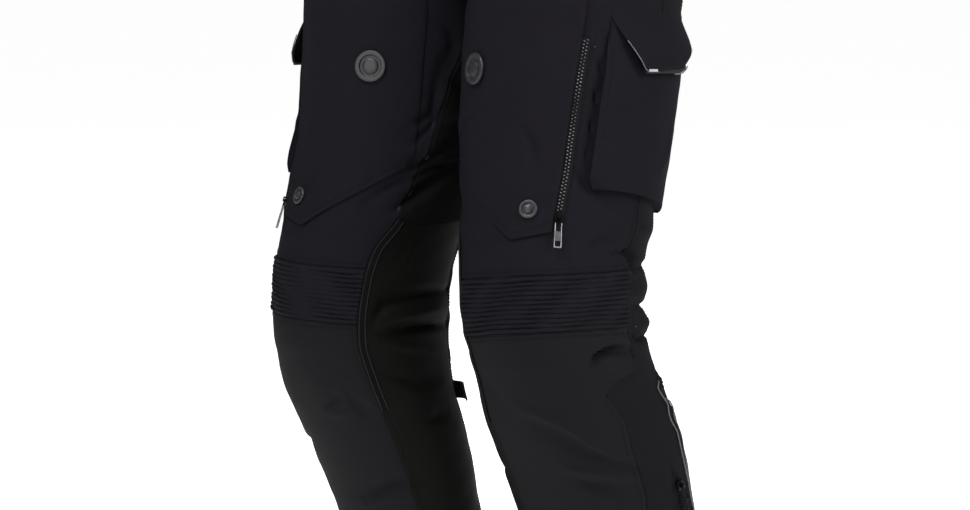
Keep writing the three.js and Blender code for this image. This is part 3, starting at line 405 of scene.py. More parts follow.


# Creases, listed one by one: leg (1 the wearer's left, -1 right, 0 both), route of (angle, height), width,
# height, and how much softer the side is that lies to the right of the route
creases = (
    # left leg, front: the two diagonal rolls on the shin, and the deep nick beside the knee
    (1, ((-4, -674), (12, -684), (23, -692), (33, -709), (45, -718), (57, -723)), 11, 4.4, 1.3),
    (1, ((6, -692), (18, -701), (27, -714), (36, -723), (54, -737)), 9, -6.0, 1.7),
    (1, ((6, -733), (18, -741), (34, -744), (52, -750)), 7, 2.4, 1.4),
    (1, ((14, -752), (27, -758), (48, -757)), 7, -3.2, 1.8),
    (1, ((55, -630), (60, -621), (67, -616), (76, -614), (88, -618)), 4.5, -10.0, 1.6),
    (1, ((57, -609), (70, -603), (86, -606)), 7, 2.2, 1.4),
    (1, ((60, -641), (75, -637), (87, -641)), 10, 3.2, 1.4),
    (1, ((-30, -640), (-20, -668), (-12, -690)), 10, -1.8, 1.5),
    (1, ((-24, -386), (-36, -402), (-43, -413)), 3.4, -1.7, 1.7),
    (1, ((-50, -405), (-34, -384)), 7, 1.3, 1.4),
    (1, ((9.5, -386), (5, -414)), 3.0, -1.4, 1.8),
    (1, ((86, -520), (94, -525), (99, -536)), 4.5, -3.4, 1.6),
    (1, ((36, -519), (46, -506), (56, -495)), 6, -2.2, 1.7),
    (1, ((-8, -512), (12, -519), (30, -520)), 7, 1.6, 1.4),
    (1, ((-46, -515), (-34, -528), (-10, -533)), 7, -1.6, 1.6),
    (1, ((62, -404), (71, -378), (81, -352)), 10, -2.0, 1.5),
    (1, ((95, -450), (108, -430), (112, -390)), 9, 1.6, 1.5),
    # left leg, bulges and nicks behind the side of the knee
    (1, ((74, -521), (88, -521), (94, -529), (99, -537), (112, -541), (138, -540)), 5, -7.5, 1.3),
    (1, ((92, -500), (110, -506), (138, -506)), 13, 2.6, 1.1),
    (1, ((88, -563), (106, -562), (140, -562)), 11, 4.2, 1.0),
    (1, ((90, -573), (106, -578), (124, -580), (142, -580)), 4.5, -5.2, 1.3),
    (1, ((96, -598), (122, -597), (142, -597)), 8, 4.6, 1.0),
    (1, ((84, -599), (95, -604), (104, -609), (124, -612), (142, -612)), 4.5, -5.8, 1.4),
    (0, ((84, -728), (84.5, -745), (88, -757)), 2.4, -2.4, 1.3),
    # right leg, the zip's edge stands out above the knee
    (-1, ((54, -405), (50, -448), (45, -482), (38, -508)), 15, 4.6, 1.0),
    (-1, ((88, -530), (108, -541), (138, -538)), 5, -6.0, 1.4),
    (-1, ((92, -560), (110, -566), (140, -564)), 10, 3.6, 1.0),
    (-1, ((90, -588), (108, -590), (140, -587)), 5, -5.0, 1.4),
    # left leg, inside
    (1, ((-49, -486), (-62, -466), (-92, -440)), 8, -4.2, 1.8),
    (1, ((-52, -498), (-70, -486), (-100, -474)), 8, 2.2, 1.4),
    (1, ((-46, -597), (-62, -582), (-112, -568)), 7, -4.6, 1.8),
    (1, ((-50, -609), (-80, -599), (-110, -592)), 7, 2.4, 1.4),
    (1, ((-48, -624), (-80, -619), (-116, -612)), 7, -4.4, 1.8),
    (1, ((-60, -690), (-84, -704), (-108, -700)), 9, -2.2, 1.6),
    (1, ((-44, -764), (-72, -750), (-108, -744)), 9, -2.8, 1.7),
    (1, ((-58, -330), (-80, -352), (-100, -356)), 9, -2.4, 1.6),
    # right leg, front and inside
    (-1, ((-49, -488), (-54, -480), (-60, -473), (-70, -462), (-86, -446)), 5.5, -8.0, 1.9),
    (-1, ((-45, -499), (-56, -492), (-72, -478)), 7, 4.0, 1.4),
    (-1, ((-30, -482), (-37, -469), (-43, -463), (-54, -457)), 5, -3.8, 1.8),
    (-1, ((-28, -497), (-34, -474)), 6, -1.8, 1.7),
    (-1, ((-45, -448), (-55, -444), (-68, -427)), 5.5, -5.0, 1.7),
    (-1, ((-44, -430), (-56, -430), (-70, -416)), 8, 3.8, 1.4),
    (-1, ((-60, -335), (-58, -363), (-57, -390), (-50, -398), (-45, -403)), 6, -4.4, 1.6),
    (-1, ((-64, -352), (-76, -372), (-96, -380)), 8, -4.0, 1.6),
    (-1, ((-62, -404), (-78, -398), (-98, -404)), 8, 3.0, 1.4),
    (-1, ((-48, -607), (-51, -596), (-56, -587), (-63, -583), (-73, -582), (-90, -579), (-116, -580)),
         5.5, -7.0, 1.8),
    (-1, ((-51, -609), (-66, -599), (-90, -597), (-114, -598)), 7, 2.8, 1.3),
    (-1, ((-54, -617), (-66, -614), (-86, -614), (-116, -617)), 5.5, -5.4, 1.8),
    (-1, ((-51, -625), (-66, -632), (-90, -640)), 8, 2.0, 1.4),
    (-1, ((-58, -560), (-66, -545), (-70, -525)), 10, 1.6, 1.4),
    (-1, ((-68, -716), (-88, -709)), 6, -2.4, 1.6),
    (-1, ((-46, -660), (-70, -672), (-104, -668)), 9, -2.2, 1.6),
    (-1, ((2, -703), (-6.5, -694), (-14, -685)), 3.4, -2.8, 1.8),
    (-1, ((-19, -677), (-22, -695), (-28, -713)), 8, -2.8, 1.5),
    (-1, ((1, -711), (-14, -706)), 6, 1.6, 1.3),
    (-1, ((3, -807), (-14, -794), (-26, -786), (-44, -780)), 7, -4.0, 1.8),
    (-1, ((5, -819), (-14, -807), (-36, -796)), 8, 2.4, 1.4),
    (-1, ((36, -700), (20, -690), (2, -664)), 11, -1.6, 1.5),
    (-1, ((52, -636), (66, -625), (86, -622)), 6, -5.4, 1.7),
    (-1, ((40, -742), (58, -756), (84, -752)), 9, -2.6, 1.7),
    (-1, ((6, -420), (18, -396)), 4, -1.3, 1.7),
    (-1, ((-6, -524), (14, -516), (34, -518)), 7, 1.4, 1.4),
    # lower legs
    (1, ((-34, -846), (-4, -866), (38, -874)), 11, -3.2, 1.6),
    (1, ((4, -940), (30, -930), (50, -918)), 10, -2.6, 1.6),
    (1, ((-30, -982), (8, -1000), (46, -992)), 11, -3.4, 1.5),
    (1, ((-50, -862), (-82, -874), (-112, -868)), 9, -2.6, 1.6),
    (1, ((-44, -950), (-78, -962), (-110, -948)), 10, -2.8, 1.6),
    (-1, ((-34, -880), (-6, -862), (36, -868)), 11, -3.2, 1.6),
    (-1, ((-28, -948), (10, -936), (44, -946)), 10, -2.8, 1.6),
    (-1, ((-20, -1012), (22, -998), (50, -1004)), 10, -3.0, 1.5),
    (-1, ((-48, -842), (-80, -852), (-110, -846)), 9, -2.6, 1.6),
    (-1, ((-46, -972), (-82, -984), (-112, -976)), 10, -2.8, 1.6),
    (1, ((62, -806), (84, -822), (108, -816)), 9, -2.4, 1.6),
    (-1, ((60, -822), (86, -834), (108, -826)), 9, -2.6, 1.6),
    (0, ((58, -900), (80, -914), (106, -906)), 9, -2.2, 1.6),
    # backs of the legs
    (1, ((124, -764), (166, -748), (216, -764)), 10, -3.6, 1.7),
    (-1, ((122, -752), (170, -766), (222, -750)), 10, -3.4, 1.7),
    (1, ((122, -852), (160, -872), (206, -860)), 12, -3.4, 1.6),
    (-1, ((126, -868), (172, -850), (214, -866)), 12, -3.2, 1.6),
    (0, ((136, -958), (184, -976), (230, -962)), 12, -3.8, 1.5),
    (0, ((128, -1024), (170, -1010), (214, -1022)), 10, -2.6, 1.6),
    (1, ((132, -300), (156, -320), (188, -314)), 12, -3.8, 1.7),
    (-1, ((136, -318), (164, -304), (192, -312)), 12, -3.6, 1.7),
    (0, ((202, -288), (224, -312), (246, -322)), 10, -3.4, 1.6),
    (1, ((136, -418), (172, -438), (214, -428)), 12, -3.2, 1.7),
    (-1, ((134, -434), (170, -420), (222, -438)), 12, -3.0, 1.7),
    (0, ((140, -500), (184, -512), (230, -504)), 10, -2.8, 1.6),
    (0, ((134, -368), (150, -384), (170, -388)), 9, -2.0, 1.6),
    (-1, ((-48, -420), (-56, -408), (-64, -386)), 4.5, -3.6, 1.6),
    (-1, ((-50, -462), (-64, -448), (-80, -442)), 5, -4.2, 1.7),
    (-1, ((-56, -436), (-74, -440), (-92, -430)), 5, 3.0, 1.5),
    (-1, ((-60, -300), (-66, -322), (-64, -348)), 7, -3.2, 1.6),
    (1, ((108, -668), (113, -688), (112, -708)), 9, 2.0, 1.3),
    (1, ((112, -645), (118, -655), (118, -664)), 5, 2.6, 1.3),
    (1, ((40, -430), (50, -452), (64, -470)), 6, -3.0, 1.7),
    (1, ((47, -520), (66, -508), (90, -512)), 8, -3.4, 1.7),
    (1, ((14, -398), (20, -412), (22, -432)), 4, -3.0, 1.6),
    (0, ((54.4, -306), (53.0, -350), (51.0, -400), (48.6, -452)), 2.4, -3.4, 1.0),
    # crotch and hips
    (0, ((-80, -268), (-50, -232), (-26, -196)), 9, -3.0, 1.7),
    (0, ((-74, -280), (-40, -266), (-4, -262)), 10, -2.4, 1.6),
    (1, ((-40, -150), (-14, -166), (8, -162)), 9, -1.8, 1.5),
    (-1, ((-34, -128), (-10, -142), (14, -136)), 9, -1.8, 1.5),
    (0, ((56, -118), (74, -142), (88, -176)), 11, -2.2, 1.5),
    (0, ((142, -96), (160, -110), (172, -138)), 11, -2.0, 1.5),
    (0, ((176, -262), (166, -226), (148, -206)), 11, -3.0, 1.6),
)
foldScale = 1.75  # millimetres along the cloth in a degree
creaseDepth = 1.25
gathers = {"pitch": 42, "depth": 4.4, "top": -530, "bottom": -700, "from": 126, "to": 236, "phase": -568}


def creaseLift(angle, z, leg):
    lift = np.zeros(np.broadcast(angle, z).shape)
    turned = np.mod(angle, 360)
    g = gathers
    inside = (turned > g["from"]) & (turned < g["to"]) & (z < g["top"]) & (z > g["bottom"])
    around = np.sin(np.pi * np.clip((turned - g["from"]) / (g["to"] - g["from"]), 0, 1)) ** 0.6
    along = np.sin(np.pi * np.clip((g["top"] - z) / (g["top"] - g["bottom"]), 0, 1)) ** 0.6
    drift = leg * 4 * np.sin(np.radians(turned * 2.2)) + 3 * np.sin(np.radians(turned * 7))
    wave = np.cos(2 * np.pi * (z - g["phase"] - drift) / g["pitch"])
    lift += np.where(inside, g["depth"] * around * along * wave, 0)
    for side, route, width, height, soft in creases:
        if side not in (0, leg):
            continue
        nearest = np.full(lift.shape, 1e9)
        share = np.zeros(lift.shape)
        hand = np.zeros(lift.shape)
        count = len(route) - 1
        for number in range(count):
            (a0, z0), (a1, z1) = route[number], route[number + 1]
            dx, dz = (a1 - a0) * foldScale, z1 - z0
            px = (np.mod(angle - a0 + 180, 360) - 180) * foldScale
            pz = z - z0
            f = np.clip((px * dx + pz * dz) / (dx * dx + dz * dz), 0, 1)
            distance = np.hypot(px - f * dx, pz - f * dz)
            closer = distance < nearest
            nearest = np.where(closer, distance, nearest)
            share = np.where(closer, (number + f) / count, share)
            hand = np.where(closer, np.sign(px * dz - pz * dx), hand)
        taper = np.sin(np.pi * np.clip(share, 0.07, 0.93)) ** 0.7
        spread = width * (0.74 + 0.26 * np.sin(5 * share + height)) * np.where(hand > 0, soft, 1)
        lift += creaseDepth * height * taper * bell(nearest, spread)
    return lift


def slackLift(angle, z, leg):
    # slight unevenness of worn cloth
    a = np.radians(angle)
    return (0.7 * np.sin(z / 33 + 2 * a + leg) * np.sin(z / 49 - a)
            + 0.4 * np.sin(z / 16 + 3 * a + 2 * leg) * np.sin(2 * a - z / 27)
            + 0.22 * np.sin(z / 7.5 + 4 * a) * np.sin(5 * a + z / 11 + leg))


def clothPoint(angle, z, lift, leg, creased=True):
    raised = np.asarray(lift, float)
    if creased:
        raised = raised + creaseLift(angle, z, leg) + slackLift(angle, z, leg)
    point = barePoint(angle, z) + outward(angle, z) * raised[..., None]
    point[..., 0] *= leg
    return point


def clothNormal(angle, z, leg):
    normal = outward(angle, z)
    normal[..., 0] *= leg
    return normal


# Making pieces
def onlySelect(piece):
    bpy.ops.object.select_all(action="DESELECT")
    piece.select_set(True)
    bpy.context.view_layer.objects.active = piece


def smoothed(piece, degrees):
    onlySelect(piece)
    bpy.ops.object.shade_smooth_by_angle(angle=math.radians(degrees))
    return piece


def joined(main, other):
    onlySelect(main)
    other.select_set(True)
    bpy.ops.object.join()
    return main


def box(size, middle=(0, 0, 0)):
    bpy.ops.mesh.primitive_cube_add(size=1, location=[value * mm for value in middle])
    piece = bpy.context.object
    piece.scale = [value * mm for value in size]
    bpy.ops.object.transform_apply(location=True, rotation=True, scale=True)
    return piece


def layFlat(mesh, places):
    # the cloth's own UV map, in metres
    layer = mesh.uv_layers[0] if mesh.uv_layers else mesh.uv_layers.new(name="UVMap")
    index = np.zeros(len(mesh.loops), np.int32)
    mesh.loops.foreach_get("vertex_index", index)
    layer.data.foreach_set("uv", places[index].reshape(-1).astype(np.float32))


def newPiece(name, points, faces, finish, places):
    mesh = bpy.data.meshes.new(name)
    mesh.from_pydata(points.tolist(), [], faces)
    mesh.materials.append(finishes[finish])
    layFlat(mesh, places)
    piece = bpy.data.objects.new(name, mesh)
    bpy.context.scene.collection.objects.link(piece)
    return piece


def applied(piece, kind, **settings):
    onlySelect(piece)
    bpy.ops.object.modifier_add(type=kind)
    modifier = piece.modifiers[-1]
    for key, value in settings.items():
        setattr(modifier, key, value)
    bpy.ops.object.modifier_apply(modifier=modifier.name)


def clothSheet(name, points, normals, bare, wall, finish, under="lining"):
    # a thin shell: points of the outer face in millimetres, rows by columns
    rows, columns = points.shape[:2]
    bpy.ops.mesh.primitive_grid_add(x_subdivisions=columns - 1, y_subdivisions=rows - 1, size=1)
    piece = bpy.context.object
    piece.name = piece.data.name = name
    mesh = piece.data
    mesh.vertices.foreach_set("co", (points * mm).reshape(-1).astype(np.float32))
    across = runLength(bare, 1)
    across -= across.mean(1, keepdims=True)
    layFlat(mesh, np.stack([across, runLength(bare)], -1).reshape(-1, 2) * mm)
    mesh.update()
    facing = np.zeros(len(mesh.polygons) * 3, np.float32)
    mesh.polygons.foreach_get("normal", facing)
    if (facing.reshape(-1, 3) * normals[:-1, :-1].reshape(-1, 3)).sum() < 0:
        mesh.flip_normals()
    for look in (finish, under):
        mesh.materials.append(finishes[look])
    applied(piece, "SOLIDIFY", thickness=wall * mm, offset=-1, use_even_offset=False, material_offset=1)
    return smoothed(piece, 55)


def declare(piece, body="garment", replaced=()):
    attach(piece, body)
    if replaced:
        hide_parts(*replaced)


halfGap = 0.15  # half the gap between two panels that are sewn together


def spacedShares(length, cell, edges=(1.2, 3.0, 4.4, 5.4, 7.2)):
    # shares from 0 to 1 with close lines near both ends
    edges = [edge for edge in edges if edge < length / 2 - cell]
    inner = edges[-1] if edges else 0
    count = max(int(round((length - 2 * inner) / cell)), 1)
    middle = [inner + (length - 2 * inner) * k / count for k in range(count + 1)]
    places = [0, *edges[:-1], *middle, *[length - edge for edge in reversed(edges[:-1])], length]
    return np.array(sorted(set(round(place, 4) for place in places))) / length


def seamRelief(distance, along):
    # the cloth turns in at a seam, is thicker over the turned edge and dips along the stitching
    pucker = 0.75 + 0.25 * np.sin(along / 1.9) * np.sin(along / 5.3)
    return (-1.3 * bell(distance, 1.5) + 0.45 * bell(distance, 4.4, 4)
            - 0.5 * pucker * bell(distance - 5.4, 1.3))


def panelGrid(spec):
    cell = spec.get("cell", 3.6)
    topIn, topOut, topArch = spec["top"]
    lowIn, lowOut, lowArch = spec["bottom"]
    columns = spacedShares(spec["wide"], spec.get("cellAcross", cell))
    rows = spacedShares((topIn + topOut - lowIn - lowOut) / 2, cell)
    if "rows" in spec:
        rows = np.linspace(0, 1, spec["rows"] + 1)
    u, v = np.meshgrid(columns, rows)
    bow = np.sin(np.pi * u)
    top = topIn + (topOut - topIn) * u + topArch * bow - (halfGap if spec.get("topSeam", 1) > 0.2 else 0)
    low = lowIn + (lowOut - lowIn) * u + lowArch * bow + (halfGap if spec.get("lowSeam", 1) > 0.2 else 0)
    z = top + (low - top) * v
    gap = math.degrees(halfGap / 80)
    start, end = edgeAt(spec["from"], z) + gap, edgeAt(spec["to"], z) - gap
    angle = start + (end - start) * u
    return u, v, angle, z


def makePanel(name, leg, label, spec):
    u, v, angle, z = panelGrid(spec)
    bare = clothPoint(angle, z, 0.0, leg, creased=False)
    across, down = runLength(bare, 1), runLength(bare)
    upperSoft = np.interp(-z, [690, 760], [0.15, 1])
    lift = seamRelief(across, down) * (upperSoft if spec.get("softStart") else 1)
    lift += seamRelief(across[:, -1:] - across, down) * (upperSoft if spec.get("softEnd") else 1)
    lift += seamRelief(down, across) * spec.get("topSeam", 1)
    if spec.get("hem"):
        turned = down[-1:] - down
        lift += 0.5 * bell(turned, 26, 8) - 0.6 * bell(turned - 26, 1.6)
    else:
        lift += seamRelief(down[-1:] - down, across) * spec.get("lowSeam", 1)
    if "relief" in spec:
        lift = lift + spec["relief"](leg, u, v)
    points = clothPoint(angle, z, lift, leg)
    if "middle" in spec:
        away = across if spec["middle"] == "start" else across[:, -1:] - across
        points[..., 0] += (bare[..., 0] - points[..., 0]) * bell(away, 9) * (z > crotch - 1)
    normals = clothNormal(angle, z, leg)
    piece = clothSheet(f"{name}_cloth_{label}", points, normals, bare, spec.get("wall", 1.7), spec["finish"])
    hangsFrom = [part if part == "waistband" else f"{part}_{label}" for part in spec["hangs"]]
    declare(piece, replaced=[f"{name}_{label}"])


ribs = {
    "left": {"top": (-552, -540, 5), "bottom": (-608, -595, 6)},
    "right": {"top": (-549, -541, 1), "bottom": (-606, -598, 1)},
    "count": 12, "height": 2.2, "rowsInRib": 8,
}


def ribRelief(leg, u, v):
    # each rib is a soft roll that fades here and there round the knee
    turns = v * ribs["count"] + 0.16 * np.sin(9 * u + 2 * leg) * np.sin(3 * v + 5 * u)
    roll = np.abs(np.sin(np.pi * turns)) ** 0.75
    if leg > 0:
        flat = 0.45 * bell(u - 0.33, 0.10) * (1 - v) + 0.3 * bell(u - 0.72, 0.16)
    else:
        flat = 0.75 * bell(u - 0.30, 0.15) + 0.35 * bell(u - 0.9, 0.2)
    uneven = 1 + 0.25 * np.sin(23 * u + 7 * v * ribs["count"]) + 0.15 * np.sin(41 * u - 3 * v * ribs["count"])
    return ribs["height"] * roll * np.clip(uneven - flat, 0.12, 1.25)


def level(z):
    return z, z, 0


def legPanels(label):
    # edges of each panel, heights of its ends (inner, outer, arch), and its width for the grid
    knee = ribs[label]
    return {
        "front_thigh": {"from": "frontMiddle", "to": "side", "top": level(-40), "bottom": knee["top"],
                        "wide": 250,
                        "middle": "start", "finish": "cloth", "hangs": ["waistband"]},
        "rib_band": {"from": "innerFront", "to": "side", "top": knee["top"], "bottom": knee["bottom"],
                     "wide": 225, "rows": ribs["count"] * ribs["rowsInRib"], "cellAcross": 3.2, "wall": 1.5,
                     "relief": ribRelief, "finish": "stretch", "hangs": ["front_thigh"]},
        "shin": {"from": "innerFront", "to": "shin", "top": knee["bottom"], "bottom": level(hem), "wide": 165,
                 "cell": 3.0, "hem": True, "softEnd": True, "finish": "shinCloth", "hangs": ["rib_band"]},
        # the inner thigh and inner calf cloth is painted darker, as shade between the legs
        "inner_thigh": {"from": "innerBack", "to": "innerFront", "top": level(crotch), "bottom": level(-505),
                        "wide": 85, "cell": 3.2, "lowSeam": 0.3, "finish": "shadedInnerCloth",
                        "hangs": ["front_thigh", "back_thigh"]},
        # the inner knee grip is painted darker than its leather, as shade between the legs
        "inner_knee": {"from": "innerBack", "to": "innerFront", "top": level(-505), "bottom": level(-870),
                       "wide": 125, "cell": 3.0, "topSeam": 0.3, "finish": "grip", "hangs": ["inner_thigh"]},
        "inner_calf": {"from": "innerBack", "to": "innerFront", "top": level(-870), "bottom": level(hem),
                       "wide": 105, "hem": True, "finish": "shadedInnerCloth", "hangs": ["inner_knee"]},
        "outer_side": {"from": "side", "to": "backSide", "top": level(-40), "bottom": level(-625), "wide": 68,
                       "lowSeam": 0.0, "finish": "sideCloth", "hangs": ["waistband"]},
        "lower_gusset": {"from": "gusset", "to": "backSide", "top": level(-625), "bottom": level(hem),
                         "wide": 85, "cell": 3.2, "hem": True, "topSeam": 0.0, "softStart": True,
                         "finish": "sideCloth", "hangs": ["outer_side"]},
        "back_thigh": {"from": "backSide", "to": "backMiddle", "top": level(-40), "bottom": level(-660),
                       "wide": 200, "middle": "end", "finish": "cloth", "hangs": ["waistband"]},
        "back_calf": {"from": "backSide", "to": "backMiddle", "top": level(-660), "bottom": level(hem),
                      "wide": 200, "hem": True, "finish": "sideCloth", "hangs": ["back_thigh"]},
    }


legs = ((1, "left"), (-1, "right"))
for leg, label in legs:
    for name, spec in legPanels(label).items():
        makePanel(name, leg, label, spec)
print("panels made")

# Vent flap, cargo pocket and its flap
thighZip = {"topAngle": 44, "topZ": -311, "lowAngle": 37, "lowZ": -489, "teeth": 0.65,
            "lifts": {"left": 1.2, "right": 0.5}}
hemZip = {"topAngle": 87, "topZ": -754, "lowAngle": 88, "lowZ": -1060, "teeth": 2.3,
          "lifts": {"left": -1.9, "right": -1.9}}
ventFlap = {"top": -263, "wall": 1.4, "lift": 2.7, "inner": -49, "innerLow": -443, "corner": 10,
            "cornerLow": -507,
            "zipLow": -498, "clear": 2.6, "wide": 160, "high": 215}
pocket = {"top": -294, "bottom": -461, "drop": 31, "from": 55.5, "to": 134, "lean": -6, "wall": 1.2,
          "height": {"left": 7.9, "right": 5.4}, "wide": 148, "high": 155,
          "edges": (0.5, 1.1, 1.9, 3.0, 4.6, 6.5)}
pocketFlap = {"top": -288, "bottom": -345, "wall": 2.2, "topFrom": 56, "lowFrom": {"left": 75, "right": 68},
              "lowTo": 128, "topTo": 136, "backRise": 17, "downs": (0, 0.2, 0.35, 0.63, 0.87, 1),
              "lifts": {"left": (0.1, 2.4, 6.2, 13.0, 16.8, 15.6), "right": (0.1, 5.8, 10.5, 17.5, 21.5,
                        20.0)}}


def zipAngle(zip, z):
    turn = zip["lowAngle"] - zip["topAngle"]
    return zip["topAngle"] + turn * (z - zip["topZ"]) / (zip["lowZ"] - zip["topZ"])


def ventLow(angle):
    f = ventFlap
    angles = [f["inner"], f["corner"], zipAngle(thighZip, f["zipLow"])]
    return np.interp(angle, angles, [f["innerLow"], f["cornerLow"], f["zipLow"]])


def makeVentFlap(leg, label):
    f = ventFlap
    u, v = np.meshgrid(spacedShares(f["wide"], 3.6), spacedShares(f["high"], 3.6))
    lowTo = zipAngle(thighZip, f["zipLow"]) - f["clear"]
    low = ventLow(f["inner"] + (lowTo - f["inner"]) * u)
    z = f["top"] + (low - f["top"]) * v
    to = zipAngle(thighZip, np.minimum(z, thighZip["topZ"] + 40)) - f["clear"]
    angle = f["inner"] + (to - f["inner"]) * u
    bare = clothPoint(angle, z, f["lift"], leg, creased=False)
    fromSide = np.minimum(u, 1 - u) * f["wide"]
    fromLow = (1 - v) * (z.max(0) - z.min(0))
    lift = f["lift"] + 0.25 * bell(fromLow, 5) - 0.35 * bell(fromLow - 7, 1.6)
    lift = lift - 0.5 * bell(fromLow, 0.9) - 0.7 * bell(fromSide, 1.5)
    lift = lift - 1.6 * bell(v * f["high"], 4) + 2.0 * bell((1 - u) * f["wide"], 7)
    if leg == 1:  # the photo shows this flap's inner low edge pressed down
        lift = lift - 2.1 * np.clip((0.66 - u) / 0.2, 0, 1) * bell(fromLow, 30)
    points, normals = clothPoint(angle, z, lift, leg), clothNormal(angle, z, leg)
    piece = clothSheet(f"vent_flap_cloth_{label}", points, normals, bare, f["wall"], "cloth", "cloth")
    declare(piece,
            replaced=[f"vent_flap_{label}"])


def pocketPlace(u, v):
    p = pocket
    height = p["top"] + (p["bottom"] - p["top"]) * v
    lean = p["lean"] * v * (1 - u)
    return p["from"] + (p["to"] - p["from"]) * u + lean, height - p["drop"] * np.asarray(u, float) ** 1.45 * v


def makePocket(leg, label):
    wide, high = pocket["wide"], pocket["high"]
    u, v = np.meshgrid(spacedShares(wide, 3.4, pocket["edges"]), spacedShares(high, 3.4, pocket["edges"]))
    angle, z = pocketPlace(u, v)
    bare = clothPoint(angle, z, 5.0, leg, creased=False)
    front, back, low = u * wide, (1 - u) * wide, (1 - v) * high

    def rolled(distance):
        return np.clip(distance / 2.2, 0, 1) ** 0.45

    face = np.minimum(np.minimum(rolled(front), rolled(back)), rolled(low))
    # the bellows are tucked in below the pocket's edges, and its lower front corner is cut
    angle = angle + 1.7 * (1 - np.clip(front / 1.9, 0, 1)) - 1.4 * (1 - np.clip(back / 1.9, 0, 1))
    angle = angle + 4.6 * np.clip((v - 0.93) / 0.07, 0, 1) * (1 - u)
    z = z + 2.6 * (1 - np.clip(low / 1.9, 0, 1))
    pleat = -0.75 * bell(np.minimum(front, low) - 8, 1.2)
    sag = 1.6 * np.sin(np.pi * np.clip(u, 0, 1)) * bell(low - 28, 40)
    under = np.clip((pocket["top"] - z) / 58, 0, 1)
    lift = 0.05 + (pocket["height"][label] * face + pleat + sag * face) * under * under * (3 - 2 * under)
    points, normals = clothPoint(angle, z, lift, leg), clothNormal(angle, z, leg)
    piece = clothSheet(f"cargo_pocket_cloth_{label}", points, normals, bare, pocket["wall"], "cloth", "cloth")
    declare(piece,
            replaced=[f"cargo_pocket_{label}"])


def flapPlace(label, u, v):
    f = pocketFlap
    start = f["topFrom"] + (f["lowFrom"][label] - f["topFrom"]) * v
    end = f["topTo"] + (f["lowTo"] - f["topTo"]) * v
    back = np.clip((np.asarray(u) - 0.5) / 0.5, 0, 1)
    rise = f["backRise"] * back * back * (3 - 2 * back) * v
    return start + (end - start) * u, f["top"] + (f["bottom"] - f["top"]) * v + rise


def flapLift(label, v):
    return np.interp(v, pocketFlap["downs"], pocketFlap["lifts"][label])


def makeFlap(leg, label):
    u, v = np.meshgrid(spacedShares(115, 3.0), spacedShares(58, 2.4))
    angle, z = flapPlace(label, u, v)
    lift = flapLift(label, v)
    eased(lift, 3)
    bare = clothPoint(angle, z, lift, leg, creased=False)
    edge = np.minimum(np.minimum(u, 1 - u) * 90, (1 - v) * 56)
    lift = lift - 0.6 * bell(edge - 6, 1.5) * (v > 0.2) - 0.9 * bell(edge, 1.2) * (v > 0.1)
    lift = lift + 1.2 * np.sin(7 * u + 1) * v * v - 1.6 * bell(u - 1, 0.12) * v
    points, normals = clothPoint(angle, z, lift, leg), clothNormal(angle, z, leg)
    # the flap's underside is painted darker, as shade under the flap
    piece = clothSheet(f"cargo_flap_cloth_{label}", points, normals, bare, pocketFlap["wall"], "cloth",
                       "shadedInnerCloth")
    declare(piece,
            replaced=[f"cargo_flap_{label}"])


for leg, label in legs:
    makeVentFlap(leg, label)
    makePocket(leg, label)
    makeFlap(leg, label)
print("flaps and pockets made")


# Trim swept along the cloth: a rounded band or cord through places with their own outward normals
def sweep(name, centres, normals, width, height, finish, sides=10):
    tangent = np.gradient(centres, axis=0)
    tangent /= np.linalg.norm(tangent, axis=1, keepdims=True)
    normals = normals - (normals * tangent).sum(1, keepdims=True) * tangent
    normals /= np.linalg.norm(normals, axis=1, keepdims=True)
    across = np.cross(tangent, normals)
    turn = np.linspace(0, 2 * np.pi, sides, endpoint=False) + np.pi / sides
    c, s = np.cos(turn), np.sin(turn)
    x, y = np.sign(c) * np.abs(c) ** 0.6, np.sign(s) * np.abs(s) ** 0.6
    ring = (centres[:, None] + across[:, None] * (x[None, :, None] * width / 2)
            + normals[:, None] * (y[None, :, None] * height / 2))
    count = len(centres)
    points = np.concatenate([ring.reshape(-1, 3), centres[:1], centres[-1:]]) * mm
    faces = []
    for low in range(0, (count - 1) * sides, sides):
        for j in range(sides):
            ahead = (j + 1) % sides
            faces.append((low + j, low + ahead, low + sides + ahead, low + sides + j))
    faces += [(count * sides, (j + 1) % sides, j) for j in range(sides)]
    end = (count - 1) * sides
    faces += [(count * sides + 1, end + j, end + (j + 1) % sides) for j in range(sides)]
    lengths = runLength(centres) * mm
    around = np.append(np.tile(np.arange(sides) / sides * 0.008, count), [0, 0])
    run = np.append(np.repeat(lengths, sides), [0, lengths[-1]])
    piece = newPiece(name, points, faces, finish, np.stack([around, run], -1))
    onlySelect(piece)
    bpy.ops.object.mode_set(mode="EDIT")
    bpy.ops.mesh.select_all(action="SELECT")
    bpy.ops.mesh.normals_make_consistent(inside=False)
    bpy.ops.object.mode_set(mode="OBJECT")
    return smoothed(piece, 60)


def runAlong(places, leg, step=3.0):
    # closely spaced points, normals from a route of (angle, height, lift)
    places = np.array(places, float)
    rough = clothPoint(places[:, 0], places[:, 1], places[:, 2], leg, creased=False)
    length = runLength(rough)
    count = max(int(length[-1] / step), 3)
    at = np.linspace(0, length[-1], count + 1)
    angle, z, lift = (np.interp(at, length, places[:, k]) for k in range(3))
    eased(angle, 2)
    return clothPoint(angle, z, lift, leg), clothNormal(angle, z, leg)


def sideways(centres, normals, distance):
    tangent = np.gradient(centres, axis=0)
    tangent /= np.linalg.norm(tangent, axis=1, keepdims=True)
    return centres + np.cross(tangent, normals) * distance


def addTrim(name, route, leg, step, size, finish, replaced=()):
    # a band or cord of size (width, height, sides) sewn along a route of (angle, height, lift)
    centres, normals = runAlong(route, leg, step)
    declare(sweep(name, centres, normals, *size[:2], finish, size[2]), replaced=replaced)


innerPiping = {"top": -500, "bottom": -700, "width": 8, "lift": 0.8}
